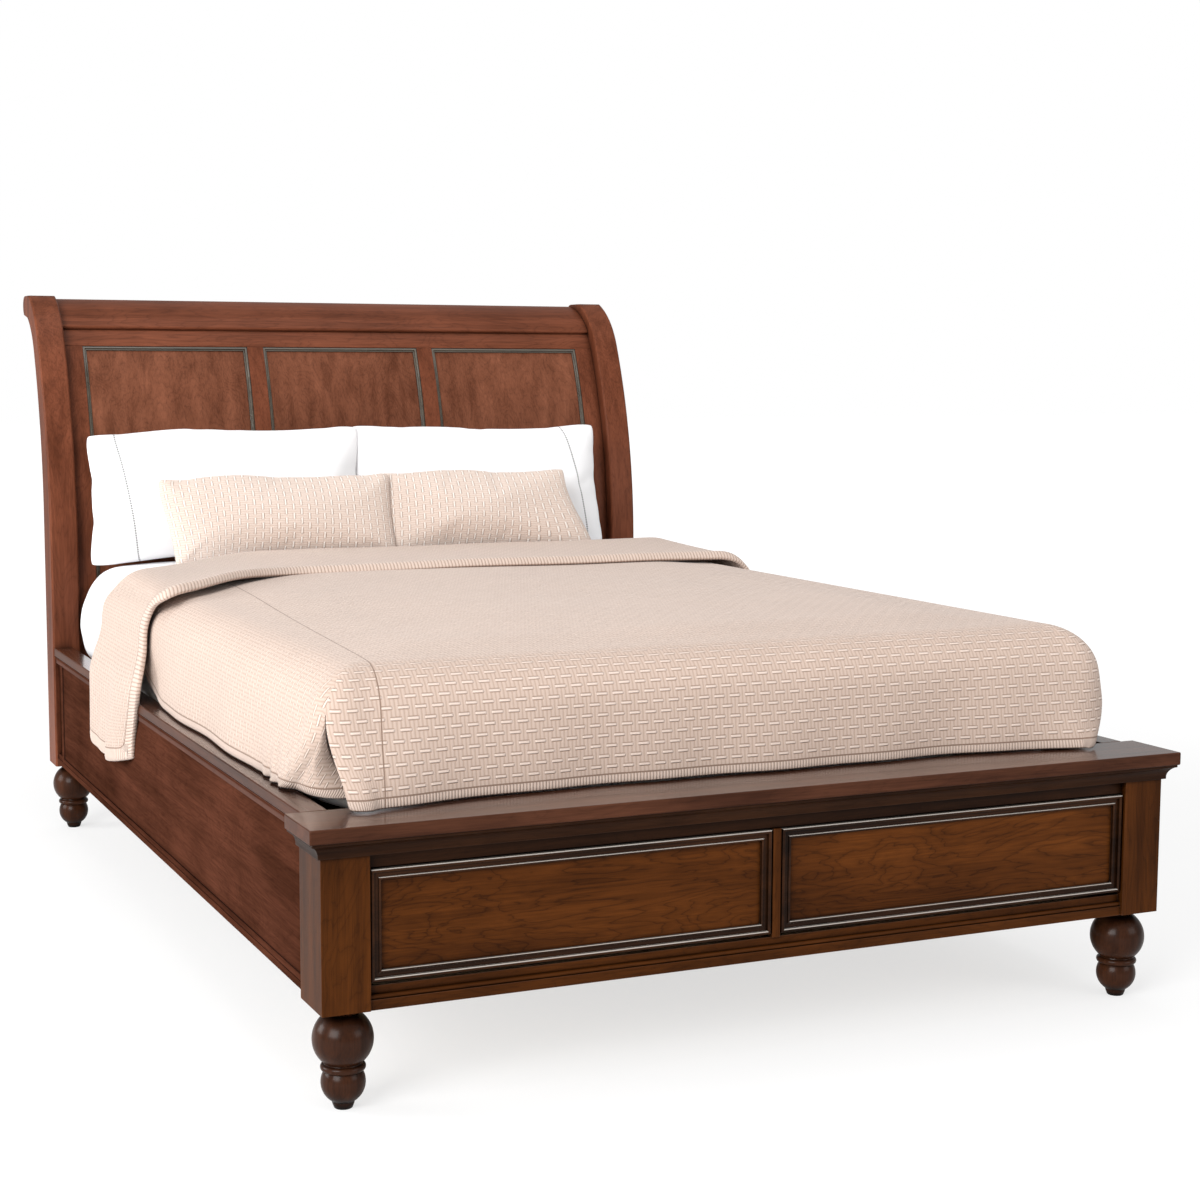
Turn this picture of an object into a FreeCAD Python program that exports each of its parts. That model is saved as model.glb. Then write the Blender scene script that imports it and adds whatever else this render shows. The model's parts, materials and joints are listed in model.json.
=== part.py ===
import FreeCAD, Part
import math
import os
import re
import Sketcher

# Queen storage bed with a sleigh headboard and two drawers in the footboard.
# Millimetres. X runs across the bed, Y from the foot to the head, and Z up from the floor.
# The origin is on the floor, under the middle of the whole bed.

SIZES = {
    "Whole bed": {
        "headboard_height": 1368,
        "ledge_height": 474,
        "foot_height": 168,
        "soft_clearance": 0.3,
        "overrun": 5,
    },
    "Posts": {
        "foot_post_width": 82,
        "foot_post_depth": 114,
        "head_post_width": 70,
        "head_post_depth": 88,
        "post_ease": 4,
    },
    "Sleigh curve": {
        "lean_radius": 1418,
        "lean_deg": 23.7,
        "roll_radius": 224,
        "roll_deg": 66.3,
        "roll_thickness": 62,
        "head_top_flat": 56,
        "nose_radius": 27,
        "nose_deg": 55,
    },
    "Headboard frame": {
        "crest_recess": 22,
        "crest_deg": 78,
        "crest_girth": 157,
        "crest_edge_radius": 6,
        "crest_nose_radius": 21,
        "frame_recess": 32,
        "frame_thickness": 25,
        "top_rail_width": 57,
        "stile_width": 50,
        "mullion_width": 44,
        "bottom_rail_low": 300,
        "bottom_rail_width": 260,
        "panel_recess": 41,
        "panel_thickness": 10,
        "panel_bead_width": 10,
        "panel_bead_depth": 6,
        "panel_quirk_width": 4,
        "panel_quirk_depth": 3,
    },
    "Footboard": {
        "cap_overhang": 24,
        "cap_thickness": 24,
        "cap_round": 2.5,
        "crown_height": 28,
        "crown_foot_out": 6,
        "crown_fillet_height": 5,
        "crown_cove_height": 18,
        "crown_cove_radius": 22,
        "crown_lip": 2,
        "crown_top_out": 20,
        "frieze_height": 24,
        "frieze_recess": 12,
        "front_frame_thickness": 22,
        "divider_width": 16,
        "base_rail_height": 38,
        "base_band_height": 17,
        "base_band_recess": 5,
        "base_bead_height": 8,
        "base_bead_out": 4,
        "base_bead_round": 4.1,
        "base_upper_recess": 13,
    },
    "Turned feet": {
        "foot_inset": 50,
        "toe_radius": 15,
        "toe_height": 13,
        "lower_ball_radius": 36.5,
        "lower_ball_drop": 30.5,
        "lower_ball_rise": 19.2,
        "ring_radius": 37,
        "ring_height": 12,
        "ring_ease": 3.5,
        "upper_ball_radius": 50,
        "upper_ball_drop": 40.5,
        "upper_ball_rise": 44,
        "collar_radius": 32,
        "foot_bolt_radius": 5,
        "foot_bolt_depth": 60,
        "foot_bolt_clearance": 0.3,
    },
    "Side rails": {
        "rail_clearance": 10,
        "rail_face_inset": 8,
        "rail_thickness": 27,
        "rail_band_height": 13,
        "rail_band_out": 4,
        "ledge_width": 47,
        "ledge_thickness": 20,
        "ledge_side_inset": 2,
        "cove_height": 18,
        "cove_round": 20,
        "cove_foot": 1.5,
        "bead_width": 11,
        "bead_out": 5,
        "bead_round": 7,
        "end_recess_width": 62,
        "end_recess_depth": 6,
        "liner_thickness": 14,
        "liner_gap": 1.5,
        "cleat_width": 20,
        "cleat_height": 30,
        "bracket_thickness": 3,
        "bracket_arm": 30,
        "bracket_rail_arm": 60,
        "bracket_height": 150,
        "bracket_low": 215,
    },
    "Base": {
        "slat_count": 13,
        "slat_width": 90,
        "slat_thickness": 18,
        "slat_drop": 45,
        "slat_end_gap": 3,
        "slat_first": 155,
        "slat_last_gap": 40,
        "beam_width": 40,
        "beam_height": 90,
        "leg_width": 40,
        "leg_spacing": 620,
        "case_panel_thickness": 16,
        "case_back_gap": 62.5,
    },
    "Drawers": {
        "drawer_gap": 2.5,
        "drawer_low_gap": 7,
        "drawer_top_gap": 2,
        "front_thickness": 18,
        "moulding_width": 18,
        "moulding_out": 10,
        "outer_bead_width": 6,
        "outer_bead_round": 3.4,
        "cove_floor_out": 4,
        "inner_bead_width": 4,
        "inner_bead_out": 7,
        "inner_bead_round": 2.4,
        "grip_height": 12,
        "grip_depth": 11,
        "box_length": 450,
        "box_height": 140,
        "box_rise": 12,
        "box_side_thickness": 12,
        "bottom_thickness": 9,
        "bottom_rise": 6,
        "slide_space": 12.7,
        "slide_height": 45,
        "slide_wall": 1.3,
        "slide_play": 1,
        "slide_web_play": 0.9,
        "slide_back_gap": 4,
        "slide_rise": 60,
        "slide_start": 2,
    },
    "Bedding": {
        "mattress_width": 1524,
        "mattress_length": 2032,
        "mattress_height": 265,
        "mattress_round": 30,
        "mattress_side_gap": 9,
        "mattress_foot_gap": 51,
        "mattress_head_gap": 43,
        "cover_side": 15,
        "cover_top": 7,
        "cover_foot": 9,
        "cover_hem_reach": 58,
        "cover_length": 1765,
        "cover_corner_radius": 60,
        "cover_fold_depth": 6,
        "cover_fold_count": 6,
        "band_thickness": 13,
        "band_length": 330,
        "band_right_overhang": 7,
        "drape_length": 372,
        "drape_thickness": 11,
        "drape_clear": 3.5,
        "drape_fold_depth": 5,
        "drape_fold_count": 2,
        "pillow_width": 690,
        "pillow_height": 345,
        "pillow_thickness": 135,
        "pillow_lean_deg": 9,
        "pillow_back_gap": 75,
        "pillow_spacing": 702,
        "pillow_shift": -45,
        "sham_width": 560,
        "sham_height": 232,
        "sham_thickness": 105,
        "sham_lean_deg": 14,
        "sham_back_gap": 238,
        "sham_spacing": 575,
        "sham_shift": -30,
    },
}

# Places worked out from the sizes, each as an expression in sizes and other places.
PLACES = {
    "half_frame": "mattress_width / 2 + mattress_side_gap + ledge_width + ledge_side_inset",
    "bed_run": "foot_post_depth + mattress_foot_gap + mattress_length + mattress_head_gap",
    "lean_back": "lean_radius * (1 - cos(lean_deg))",
    "roll_back": "roll_radius * (cos(lean_deg) - cos(roll_deg))",
    "nose_start": "lean_back + roll_back + head_top_flat",
    "head_reach": "nose_start + nose_radius",
    "overall_depth": "cap_overhang + bed_run + head_reach",
    "foot_front": "cap_overhang - overall_depth / 2",
    "foot_back": "foot_front + foot_post_depth",
    "head_front": "foot_front + bed_run",
    "curve_start": "headboard_height - lean_radius * sin(lean_deg)"
                   " - roll_radius * (sin(roll_deg) - sin(lean_deg))",
    "roll_height": "curve_start + (lean_radius - roll_radius) * sin(lean_deg)",
    "head_post_inner": "half_frame - head_post_width",
    "foot_post_inner": "half_frame - foot_post_width",
    "cap_bottom": "ledge_height - cap_thickness",
    "frieze_top": "cap_bottom - crown_height",
    "frieze_bottom": "frieze_top - frieze_height",
    "frieze_front": "foot_front + frieze_recess",
    "frame_back": "frieze_front + front_frame_thickness",
    "base_top": "foot_height + base_rail_height",
    "rail_bottom": "foot_height + rail_clearance",
    "rail_outer": "half_frame - rail_face_inset",
    "rail_inner": "rail_outer - rail_thickness",
    "ledge_outer": "half_frame - ledge_side_inset",
    "ledge_bottom": "ledge_height - ledge_thickness",
    "slat_top": "ledge_height - slat_drop",
    "slat_bottom": "slat_top - slat_thickness",
    "case_back": "box_back + case_back_gap",
    "case_back_rear": "case_back + case_panel_thickness",
    "drawer_centre": "(foot_post_inner + divider_width / 2) / 2",
    "drawer_half_front": "(foot_post_inner - divider_width / 2) / 2 - drawer_gap",
    "drawer_half_bay": "(foot_post_inner - divider_width / 2) / 2",
    "drawer_half_box": "drawer_half_bay - slide_space",
    "front_low": "base_top + drawer_low_gap",
    "front_high": "frieze_bottom - drawer_top_gap",
    "front_face": "foot_front + frieze_recess + drawer_gap",
    "front_back": "front_face + front_thickness",
    "box_low": "front_low + box_rise",
    "box_high": "box_low + box_height",
    "box_back": "front_back + box_length",
    "bottom_low": "box_low + bottom_rise",
    "slide_low": "box_low + slide_rise",
    "beam_top": "slat_bottom",
    "beam_low": "beam_top - beam_height",
    "beam_end": "head_front + frame_recess",
    "mattress_foot": "foot_back + mattress_foot_gap",
    "mattress_top": "slat_top + mattress_height",
    "cover_under": "mattress_top + soft_clearance",
    "cover_over": "cover_under + cover_top",
    "cover_half": "mattress_width / 2 + cover_side",
    "cover_head": "mattress_foot + cover_length",
}

doc = FreeCAD.newDocument("SleighStorageBed")
sheet = doc.addObject("Spreadsheet::Sheet", "Sizes")
WORD = re.compile(r"[a-z][a-z_]*")
nodes = []


def fill_sheet():
    """Writes each size in its own row of the sheet, under its heading, with its name as alias."""
    row = 1
    for heading, group in SIZES.items():
        sheet.set("A%d" % row, heading)
        row += 1
        for name, number in group.items():
            sheet.set("A%d" % row, name)
            sheet.set("B%d" % row, str(number))
            sheet.setAlias("B%d" % row, name)
            row += 1
    doc.recompute()


ALIASES = {name for group in SIZES.values() for name in group}


def bind(text):
    """Turns an expression in sizes and places into one that reads the sheet."""
    def swap(match):
        word = match.group(0)
        if word in PLACES:
            return "(" + bind(PLACES[word]) + ")"
        if word in ALIASES:
            return "<<Sizes>>." + word
        return word
    return WORD.sub(swap, str(text))


def value(text):
    """The present value of an expression in sizes and places."""
    found = sheet.evalExpression(bind(text))
    return float(getattr(found, "Value", found))


def node(thing, name):
    """Names a finished sub-part and keeps it for export."""
    thing.Label = name
    nodes.append(thing)
    return thing


def move(thing, x=0, y=0, z=0):
    """Binds a thing's place to expressions."""
    for axis, text in zip("xyz", (x, y, z)):
        thing.setExpression("Placement.Base." + axis, bind(text))
    return thing


def board(x, y, z):
    """A square-edged board between pairs of places in x, y and z."""
    box = doc.addObject("Part::Box", "Board")
    for side, (low, high) in zip(("Length", "Width", "Height"), (x, y, z)):
        box.setExpression(side, bind("(%s) - (%s)" % (high, low)))
    return move(box, x[0], y[0], z[0])


def group(pieces):
    """Pieces of one kind that share a node, each still its own solid."""
    bundle = doc.addObject("Part::Compound", "Group")
    bundle.Links = pieces
    return bundle


def mirrored(thing):
    """The other-handed copy of a piece, across the middle of the bed."""
    copy = doc.addObject("Part::Mirroring", "Mirrored")
    copy.Source = thing
    copy.Normal = (1, 0, 0)
    return copy


def both_sides(thing):
    return group([thing, mirrored(thing)])


def arc_centre(start, end, radius, turn):
    """Centre of the arc from start to end that bends left (turn 1) or right (turn -1)."""
    span = (end - start).Length
    middle = (start + end) * 0.5
    along = (end - start).normalize()
    left = FreeCAD.Vector(-along.y, along.x, 0)
    return middle + left * (turn * math.sqrt(radius ** 2 - (span / 2) ** 2))


def draw(sketch, points, closed=True):
    """Draws an outline of lines and arcs whose corners and radii are bound to sizes.

    Each point is (across, up) or (across, up, radius, turn) where the edge that leaves it is an arc.
    """
    spots = [FreeCAD.Vector(value(point[0]), value(point[1]), 0) for point in points]
    count = len(points) if closed else len(points) - 1
    edges = []
    for k in range(count):
        start, end = spots[k], spots[(k + 1) % len(spots)]
        if len(points[k]) == 2:
            edges.append((sketch.addGeometry(Part.LineSegment(start, end), False), 1, 2))
            continue
        radius, turn = value(points[k][2]), points[k][3]
        centre = arc_centre(start, end, radius, turn)
        first, last = (start, end) if turn > 0 else (end, start)
        angles = [math.atan2(spot.y - centre.y, spot.x - centre.x) for spot in (first, last)]
        if angles[1] < angles[0]:
            angles[1] += 2 * math.pi
        circle = Part.Circle(centre, FreeCAD.Vector(0, 0, 1), radius)
        curve = sketch.addGeometry(Part.ArcOfCircle(circle, *angles), False)
        edges.append((curve, 1, 2) if turn > 0 else (curve, 2, 1))
        mark = sketch.addConstraint(Sketcher.Constraint("Radius", curve, radius))
        sketch.renameConstraint(mark, "radius%d" % k)
        sketch.setExpression("Constraints.radius%d" % k, bind(points[k][2]))
    for k, spot in enumerate(spots):
        edge, start, end = edges[k] if k < count else edges[k - 1]
        corner = start if k < count else end
        for kind, name, number in (("DistanceX", "across", spot.x), ("DistanceY", "up", spot.y)):
            mark = sketch.addConstraint(Sketcher.Constraint(kind, -1, 1, edge, corner, number))
            sketch.renameConstraint(mark, "%s%d" % (name, k))
        sketch.setExpression("Constraints.across%d" % k, bind(points[k][0]))
        sketch.setExpression("Constraints.up%d" % k, bind(points[k][1]))
    for k in range(count if closed else count - 1):
        following = edges[(k + 1) % len(edges)]
        sketch.addConstraint(
            Sketcher.Constraint("Coincident", edges[k][0], edges[k][2], following[0], following[1]))
    return sketch


def body_sketch(body, plane, points):
    """An outline on one of the body's own origin planes."""
    sketch = body.newObject("Sketcher::SketchObject", "Outline")
    base = [part for part in body.Origin.OriginFeatures if part.Role == plane][0]
    sketch.AttachmentSupport = [(base, "")]
    sketch.MapMode = "FlatFace"
    return draw(sketch, points)


def padded(plane, points, length):
    """A body padded from an outline: along +Z, +Y or +X for the XY, XZ or YZ plane."""
    body = doc.addObject("PartDesign::Body", "Body")
    sketch = body_sketch(body, plane, points)
    pad = body.newObject("PartDesign::Pad", "Pad")
    pad.Profile = sketch
    pad.setExpression("Length", bind(length))
    pad.Reversed = plane == "XZ_Plane"
    return body


def rounded(body, radius, test):
    """Rounds the edges of the body whose two ends both pass the test."""
    doc.recompute()
    solid = body.Tip
    names = []
    for k, edge in enumerate(solid.Shape.Edges):
        if all(test(corner.Point) for corner in edge.Vertexes):
            names.append("Edge%d" % (k + 1))
    fillet = body.newObject("PartDesign::Fillet", "Fillet")
    fillet.Base = (solid, names)
    fillet.setExpression("Radius", bind(radius))
    return body


TURNS = {
    "XY": FreeCAD.Rotation(),
    "XZ": FreeCAD.Rotation(FreeCAD.Vector(1, 0, 0), 90),
    "YZ": FreeCAD.Rotation(FreeCAD.Vector(1, 1, 1), 120),
}


def loose_sketch(plane, origin, points, closed=True):
    """An outline on a plane parallel to XY, XZ or YZ, through a bound origin."""
    sketch = doc.addObject("Sketcher::SketchObject", "Outline")
    sketch.Placement = FreeCAD.Placement(FreeCAD.Vector(), TURNS[plane])
    move(sketch, *origin)
    return draw(sketch, points, closed)


def moulding(path, path_closed, path_plane, path_origin, section, section_plane, section_origin):
    """A moulding run along a path of straight stretches, mitred at the corners."""
    spine = loose_sketch(path_plane, path_origin, path, path_closed)
    profile = loose_sketch(section_plane, section_origin, section)
    sweep = doc.addObject("Part::Sweep", "Moulding")
    sweep.Sections = [profile]
    count = len(path) if path_closed else len(path) - 1
    sweep.Spine = (spine, ["Edge%d" % (k + 1) for k in range(count)])
    sweep.Solid = True
    sweep.Transition = "Right corner"
    return sweep


# The sleigh curve: a straight foot, a long lean and a tight roll, seen from the side.
# A point on it is named by its distance along the front of the posts from where the lean starts,
# and by how far it lies behind that front.

def lean_length():
    return value("lean_radius") * math.radians(value("lean_deg"))


def along_at_turn(degrees):
    """Distance along the curve at which it has turned by so many degrees, in the roll."""
    return lean_length() + value("roll_radius") * math.radians(degrees - value("lean_deg"))


def curve_point(along, behind):
    if along <= 0:
        return FreeCAD.Vector(0, behind, value("curve_start") + along)
    if along <= lean_length():
        radius, centre_y, centre_z = value("lean_radius"), value("lean_radius"), value("curve_start")
        turn = along / radius
    else:
        radius, centre_z = value("roll_radius"), value("roll_height")
        centre_y = value("lean_back + roll_radius * cos(lean_deg)")
        turn = math.radians(value("lean_deg")) + (along - lean_length()) / radius
    reach = radius - behind
    return FreeCAD.Vector(0, centre_y - reach * math.cos(turn), centre_z + reach * math.sin(turn))


def curve_edges(behind, start, end):
    """Edges of the curve between two distances along it, running from start to end."""
    low, high = min(start, end), max(start, end)
    marks = [low] + [mark for mark in (0.0, lean_length()) if low < mark < high] + [high]
    if start > end:
        marks.reverse()
    edges = []
    for first, last in zip(marks, marks[1:]):
        ends = curve_point(first, behind), curve_point(last, behind)
        if max(first, last) <= 0:
            edges.append(Part.makeLine(*ends))
        else:
            middle = curve_point((first + last) / 2, behind)
            edges.append(Part.Arc(ends[0], middle, ends[1]).toShape())
    return edges


def strip(x_low, x_high, front, back, low, high):
    """A piece that follows the curve, between two offsets behind it and two places along it."""
    edges = curve_edges(front, low, high)
    edges.append(Part.makeLine(curve_point(high, front), curve_point(high, back)))
    edges += curve_edges(back, high, low)
    edges.append(Part.makeLine(curve_point(low, back), curve_point(low, front)))
    face = Part.Face(Part.Wire(edges))
    face.translate(FreeCAD.Vector(x_low, 0, 0))
    return face.extrude(FreeCAD.Vector(x_high - x_low, 0, 0))


def shaped(shape):
    thing = doc.addObject("Part::Feature", "Shaped")
    thing.Shape = shape
    return thing


def feature(shape, name):
    return node(shaped(shape), name)


def nose_points(radius):
    """Start, middle and end of the rounded nose at the back of the rolled top."""
    centre = FreeCAD.Vector(0, value("nose_start"), value("headboard_height - nose_radius"))
    turns = [math.radians(90), math.radians((90 - value("nose_deg")) / 2), math.radians(-value("nose_deg"))]
    return [centre + FreeCAD.Vector(0, math.cos(turn), math.sin(turn)) * radius for turn in turns]


def back_edges(top):
    """The back of the rolled top, from its given last point down to the inside of the lean."""
    thickness = value("roll_thickness")
    lip = curve_point(along_at_turn(value("roll_deg")), thickness)
    hollow = curve_point(along_at_turn((value("roll_deg") + value("lean_deg")) / 2), thickness)
    inner = curve_point(lean_length(), thickness)
    return [Part.makeLine(top, lip), Part.Arc(lip, hollow, inner).toShape()], inner


def headboard_post_shape():
    """One post in side view, straight up to the lean and thinner where it rolls, with rounded edges."""
    depth, low = value("head_post_depth"), value("foot_height") - value("curve_start")
    top_front = curve_point(along_at_turn(value("roll_deg")), 0)
    nose = nose_points(value("nose_radius"))
    edges = curve_edges(0, low, along_at_turn(value("roll_deg")))
    edges.append(Part.makeLine(top_front, nose[0]))
    edges.append(Part.Arc(*nose).toShape())
    rear, inner = back_edges(nose[2])
    edges += rear
    lean = math.radians(value("lean_deg"))
    radius = (inner.y - depth) / (1 - math.cos(lean))
    centre = FreeCAD.Vector(0, depth + radius, inner.z - radius * math.sin(lean))
    middle = centre + FreeCAD.Vector(0, -math.cos(lean / 2), math.sin(lean / 2)) * radius
    heel = FreeCAD.Vector(0, depth, centre.z)
    edges.append(Part.Arc(inner, middle, heel).toShape())
    edges.append(Part.makeLine(heel, curve_point(low, depth)))
    edges.append(Part.makeLine(curve_point(low, depth), curve_point(low, 0)))
    post = Part.Face(Part.Wire(edges)).extrude(FreeCAD.Vector(value("head_post_width"), 0, 0))
    marks = low, 0.0, lean_length(), along_at_turn(value("roll_deg"))
    return post.makeChamfer(value("post_ease"), long_edges(post, [curve_point(mark, 0) for mark in marks]))


def long_edges(post, spots):
    """The edges that run along a post between the given spots, on both of its sides."""
    near = value("post_ease")

    def on_curve(corner):
        return any(math.hypot(corner.Y - spot.y, corner.Z - spot.z) < near for spot in spots)
    return [edge for edge in post.Edges if all(on_curve(corner) for corner in edge.Vertexes)
            and abs(edge.Vertexes[0].X - edge.Vertexes[-1].X) < near]


def headboard_posts():
    """The two posts, each bored for its foot's bolt."""
    shape = headboard_post_shape()
    radius, depth = value("foot_bolt_radius + foot_bolt_clearance"), value("foot_bolt_depth")
    for side, x in (("left", "-half_frame"), ("right", "head_post_inner")):
        place = FreeCAD.Vector(value("%s - (%s)" % (FOOT_X[side], x)), value("head_post_depth / 2"),
                               value("foot_height"))
        bore = Part.makeCylinder(radius, depth, place)
        move(feature(shape.cut(bore), side + "_headboard_post"), x, "head_front")


def crest_shape():
    """The rolled rail between the post tops, with an eased lower edge and its own smaller nose."""
    recess, half = value("crest_recess"), value("head_post_inner")
    top, low = along_at_turn(value("crest_deg")), crest_low()
    ease = value("crest_edge_radius")
    nose = nose_points(value("crest_nose_radius"))
    edges = curve_edges(recess, low + ease, top)
    edges.append(Part.makeLine(curve_point(top, recess), nose[0]))
    edges.append(Part.Arc(*nose).toShape())
    edges.append(back_edges(nose[2])[0][0])
    thickness = value("roll_thickness")
    edges += curve_edges(thickness, along_at_turn(value("roll_deg")), low)
    start = curve_point(low, recess + ease)
    edges.append(Part.makeLine(curve_point(low, thickness), start))
    bulge = curve_point(low + ease * (1 - math.sqrt(0.5)), recess + ease * (1 - math.sqrt(0.5)))
    edges.append(Part.Arc(start, bulge, curve_point(low + ease, recess)).toShape())
    face = Part.Face(Part.Wire(edges))
    face.translate(FreeCAD.Vector(-half, 0, 0))
    return face.extrude(FreeCAD.Vector(2 * half, 0, 0))


def crest_low():
    """Distance along the curve of the crest rail's lower edge."""
    return along_at_turn(value("crest_deg")) - value("crest_girth")


def headboard():
    """The framed and panelled headboard between the posts."""
    front, back = value("frame_recess"), value("frame_recess + frame_thickness")
    half, stile = value("head_post_inner"), value("stile_width")
    mullion = value("mullion_width")
    bottom = value("bottom_rail_low - curve_start")
    opening_low = value("bottom_rail_low + bottom_rail_width - curve_start")
    opening_high = crest_low() - value("top_rail_width")
    move(feature(crest_shape(), "crest_rail"), 0, "head_front")
    top_rail = strip(-half, half, front, back, opening_high, crest_low())
    move(feature(top_rail, "headboard_top_rail"), 0, "head_front")
    stiles = [strip(-half, stile - half, front, back, bottom, opening_high),
              strip(half - stile, half, front, back, bottom, opening_high)]
    move(feature(Part.makeCompound(stiles), "headboard_stiles"), 0, "head_front")
    bottom_rail = strip(stile - half, half - stile, front, back, bottom, opening_low)
    move(feature(bottom_rail, "headboard_bottom_rail"), 0, "head_front")
    panel_width = (2 * (half - stile) - 2 * mullion) / 3
    lefts = [stile - half + k * (panel_width + mullion) for k in range(3)]
    mullions = [strip(left + panel_width, left + panel_width + mullion, front, back, opening_low, opening_high)
                for left in lefts[:2]]
    move(feature(Part.makeCompound(mullions), "headboard_mullions"), 0, "head_front")
    recess, thickness = value("panel_recess"), value("panel_thickness")
    beads = []
    for side, left in zip(("left", "centre", "right"), lefts):
        panel = strip(left, left + panel_width, recess, recess + thickness, opening_low, opening_high)
        move(feature(panel, side + "_headboard_panel"), 0, "head_front")
        beads.append(panel_bead(left, left + panel_width, opening_low, opening_high))
    move(feature(Part.makeCompound(beads), "headboard_panel_beads"), 0, "head_front")


def panel_bead(left, right, low, high):
    """The stepped bead that frames one panel: a ring on the panel's face, thinner towards its middle."""
    recess, past = value("panel_recess"), value("overrun")
    front = recess - value("panel_bead_depth")
    step = recess - value("panel_quirk_depth")
    width = value("panel_bead_width")
    shoulder = width - value("panel_quirk_width")
    ring = strip(left, right, front, recess, low, high)
    opening = strip(left + shoulder, right - shoulder, front - past, step, low + shoulder, high - shoulder)
    sight = strip(left + width, right - width, front - past, recess + past, low + width, high - width)
    return ring.cut(opening).cut(sight)


def turned_foot():
    """One turned foot: toe, lower ball, ring, upper ball and collar, bored for its bolt."""
    ring_low = "toe_height + lower_ball_drop + lower_ball_rise"
    ring_top = ring_low + " + ring_height"
    bore = "foot_bolt_radius + foot_bolt_clearance"
    bore_low = "foot_height - foot_bolt_depth"
    points = [
        ("0", "0"),
        ("toe_radius", "0"),
        (ball_edge("lower_ball", "drop"), "toe_height", "lower_ball_radius", 1),
        (ball_edge("lower_ball", "rise"), ring_low),
        ("ring_radius", ring_low + " + ring_ease"),
        ("ring_radius", ring_top + " - ring_ease"),
        (ball_edge("upper_ball", "drop"), ring_top, "upper_ball_radius", 1),
        (ball_edge("upper_ball", "rise"), ring_top + " + upper_ball_drop + upper_ball_rise"),
        ("collar_radius", "foot_height"),
        (bore, "foot_height"),
        (bore, bore_low),
        ("0", bore_low),
    ]
    body = doc.addObject("PartDesign::Body", "Foot")
    sketch = body_sketch(body, "XZ_Plane", points)
    turn = body.newObject("PartDesign::Revolution", "Turning")
    turn.Profile = sketch
    turn.ReferenceAxis = (sketch, ["V_Axis"])
    turn.Angle = 360
    return body


def ball_edge(ball, end):
    """The radius at which a ball of the foot is cut off, so far below or above its centre."""
    return "sqrt(%s_radius ^ 2 - %s_%s ^ 2)" % (ball, ball, end)


FOOT_X = {"left": "foot_inset - half_frame", "right": "half_frame - foot_inset"}
FOOT_Y = {"front": "foot_front + foot_inset", "back": "head_front + head_post_depth / 2"}


def bolt(radius, x, y):
    """The hanger bolt, or its bore at a larger radius, that joins a foot to its post."""
    rod = doc.addObject("Part::Cylinder", "Bolt")
    rod.setExpression("Radius", bind(radius))
    rod.setExpression("Height", bind("2 * foot_bolt_depth"))
    return move(rod, x, y, "foot_height - foot_bolt_depth")


def feet():
    places = [(x, y) for y in FOOT_Y.values() for x in FOOT_X.values()]
    node(group([move(turned_foot(), x, y) for x, y in places]), "turned_feet")
    node(group([bolt("foot_bolt_radius", x, y) for x, y in places]), "foot_bolts")


def bored(thing, x, y):
    """A post with the bore for its foot's bolt."""
    cut = doc.addObject("Part::Cut", "Bored")
    cut.Base = thing
    cut.Tool = bolt("foot_bolt_radius + foot_bolt_clearance", x, y)
    return cut


def footboard():
    """Posts, frieze, divider and base rail of the footboard, under its cap and crown moulding."""
    for side, (low, high) in (("left", ("-half_frame", "-foot_post_inner")),
                              ("right", ("foot_post_inner", "half_frame"))):
        post = board((low, high), ("foot_front", "foot_back"), ("foot_height", "cap_bottom"))
        node(bored(post, FOOT_X[side], FOOT_Y["front"]), side + "_footboard_post")
    cap = padded("XY_Plane", [
        ("-half_frame - cap_overhang", "foot_front - cap_overhang"),
        ("half_frame + cap_overhang", "foot_front - cap_overhang"),
        ("half_frame + cap_overhang", "foot_back"),
        ("-half_frame - cap_overhang", "foot_back")], "cap_thickness")
    rounded(cap, "cap_round", lambda spot: spot.y < value("foot_front"))
    node(move(cap, 0, 0, "cap_bottom"), "footboard_cap")
    node(crown(), "crown_moulding")
    frieze = padded("YZ_Plane", [
        ("frieze_recess", "0"), ("frieze_recess + front_frame_thickness", "0"),
        ("frieze_recess + front_frame_thickness", "frieze_height + crown_height"),
        ("0", "frieze_height + crown_height"), ("0", "frieze_height"), ("frieze_recess", "frieze_height")],
        "2 * foot_post_inner")
    node(move(frieze, "-foot_post_inner", "foot_front", "frieze_bottom"), "footboard_frieze")
    divider = board(("-divider_width / 2", "divider_width / 2"), ("foot_front + base_band_recess", "frame_back"),
                    ("base_top", "frieze_bottom"))
    node(divider, "drawer_divider")
    base = padded("YZ_Plane", [
        ("base_band_recess", "0"), ("frieze_recess + front_frame_thickness", "0"),
        ("frieze_recess + front_frame_thickness", "base_rail_height"),
        ("base_upper_recess", "base_rail_height"),
        ("base_upper_recess", "base_band_height + base_bead_height"),
        ("base_upper_recess - base_bead_out", "base_band_height + base_bead_height", "base_bead_round", 1),
        ("base_upper_recess - base_bead_out", "base_band_height"),
        ("base_band_recess", "base_band_height")], "2 * foot_post_inner")
    node(move(base, "-foot_post_inner", "foot_front", "foot_height"), "footboard_base_rail")


def crown():
    """The crown moulding under the cap: a step, a cove and a top fillet, round three sides."""
    path = [("-half_frame", "foot_back"), ("-half_frame", "foot_front"),
            ("half_frame", "foot_front"), ("half_frame", "foot_back")]
    section = [
        ("0", "0"), ("-crown_foot_out", "0"),
        ("-crown_foot_out", "crown_fillet_height", "crown_cove_radius", 1),
        ("crown_lip - crown_top_out", "crown_fillet_height + crown_cove_height"),
        ("-crown_top_out", "crown_fillet_height + crown_cove_height"),
        ("-crown_top_out", "crown_height"), ("0", "crown_height")]
    return moulding(path, False, "XY", ("0", "0", "frieze_top"),
                    section, "XZ", ("-half_frame", "foot_back", "frieze_top"))


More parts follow.
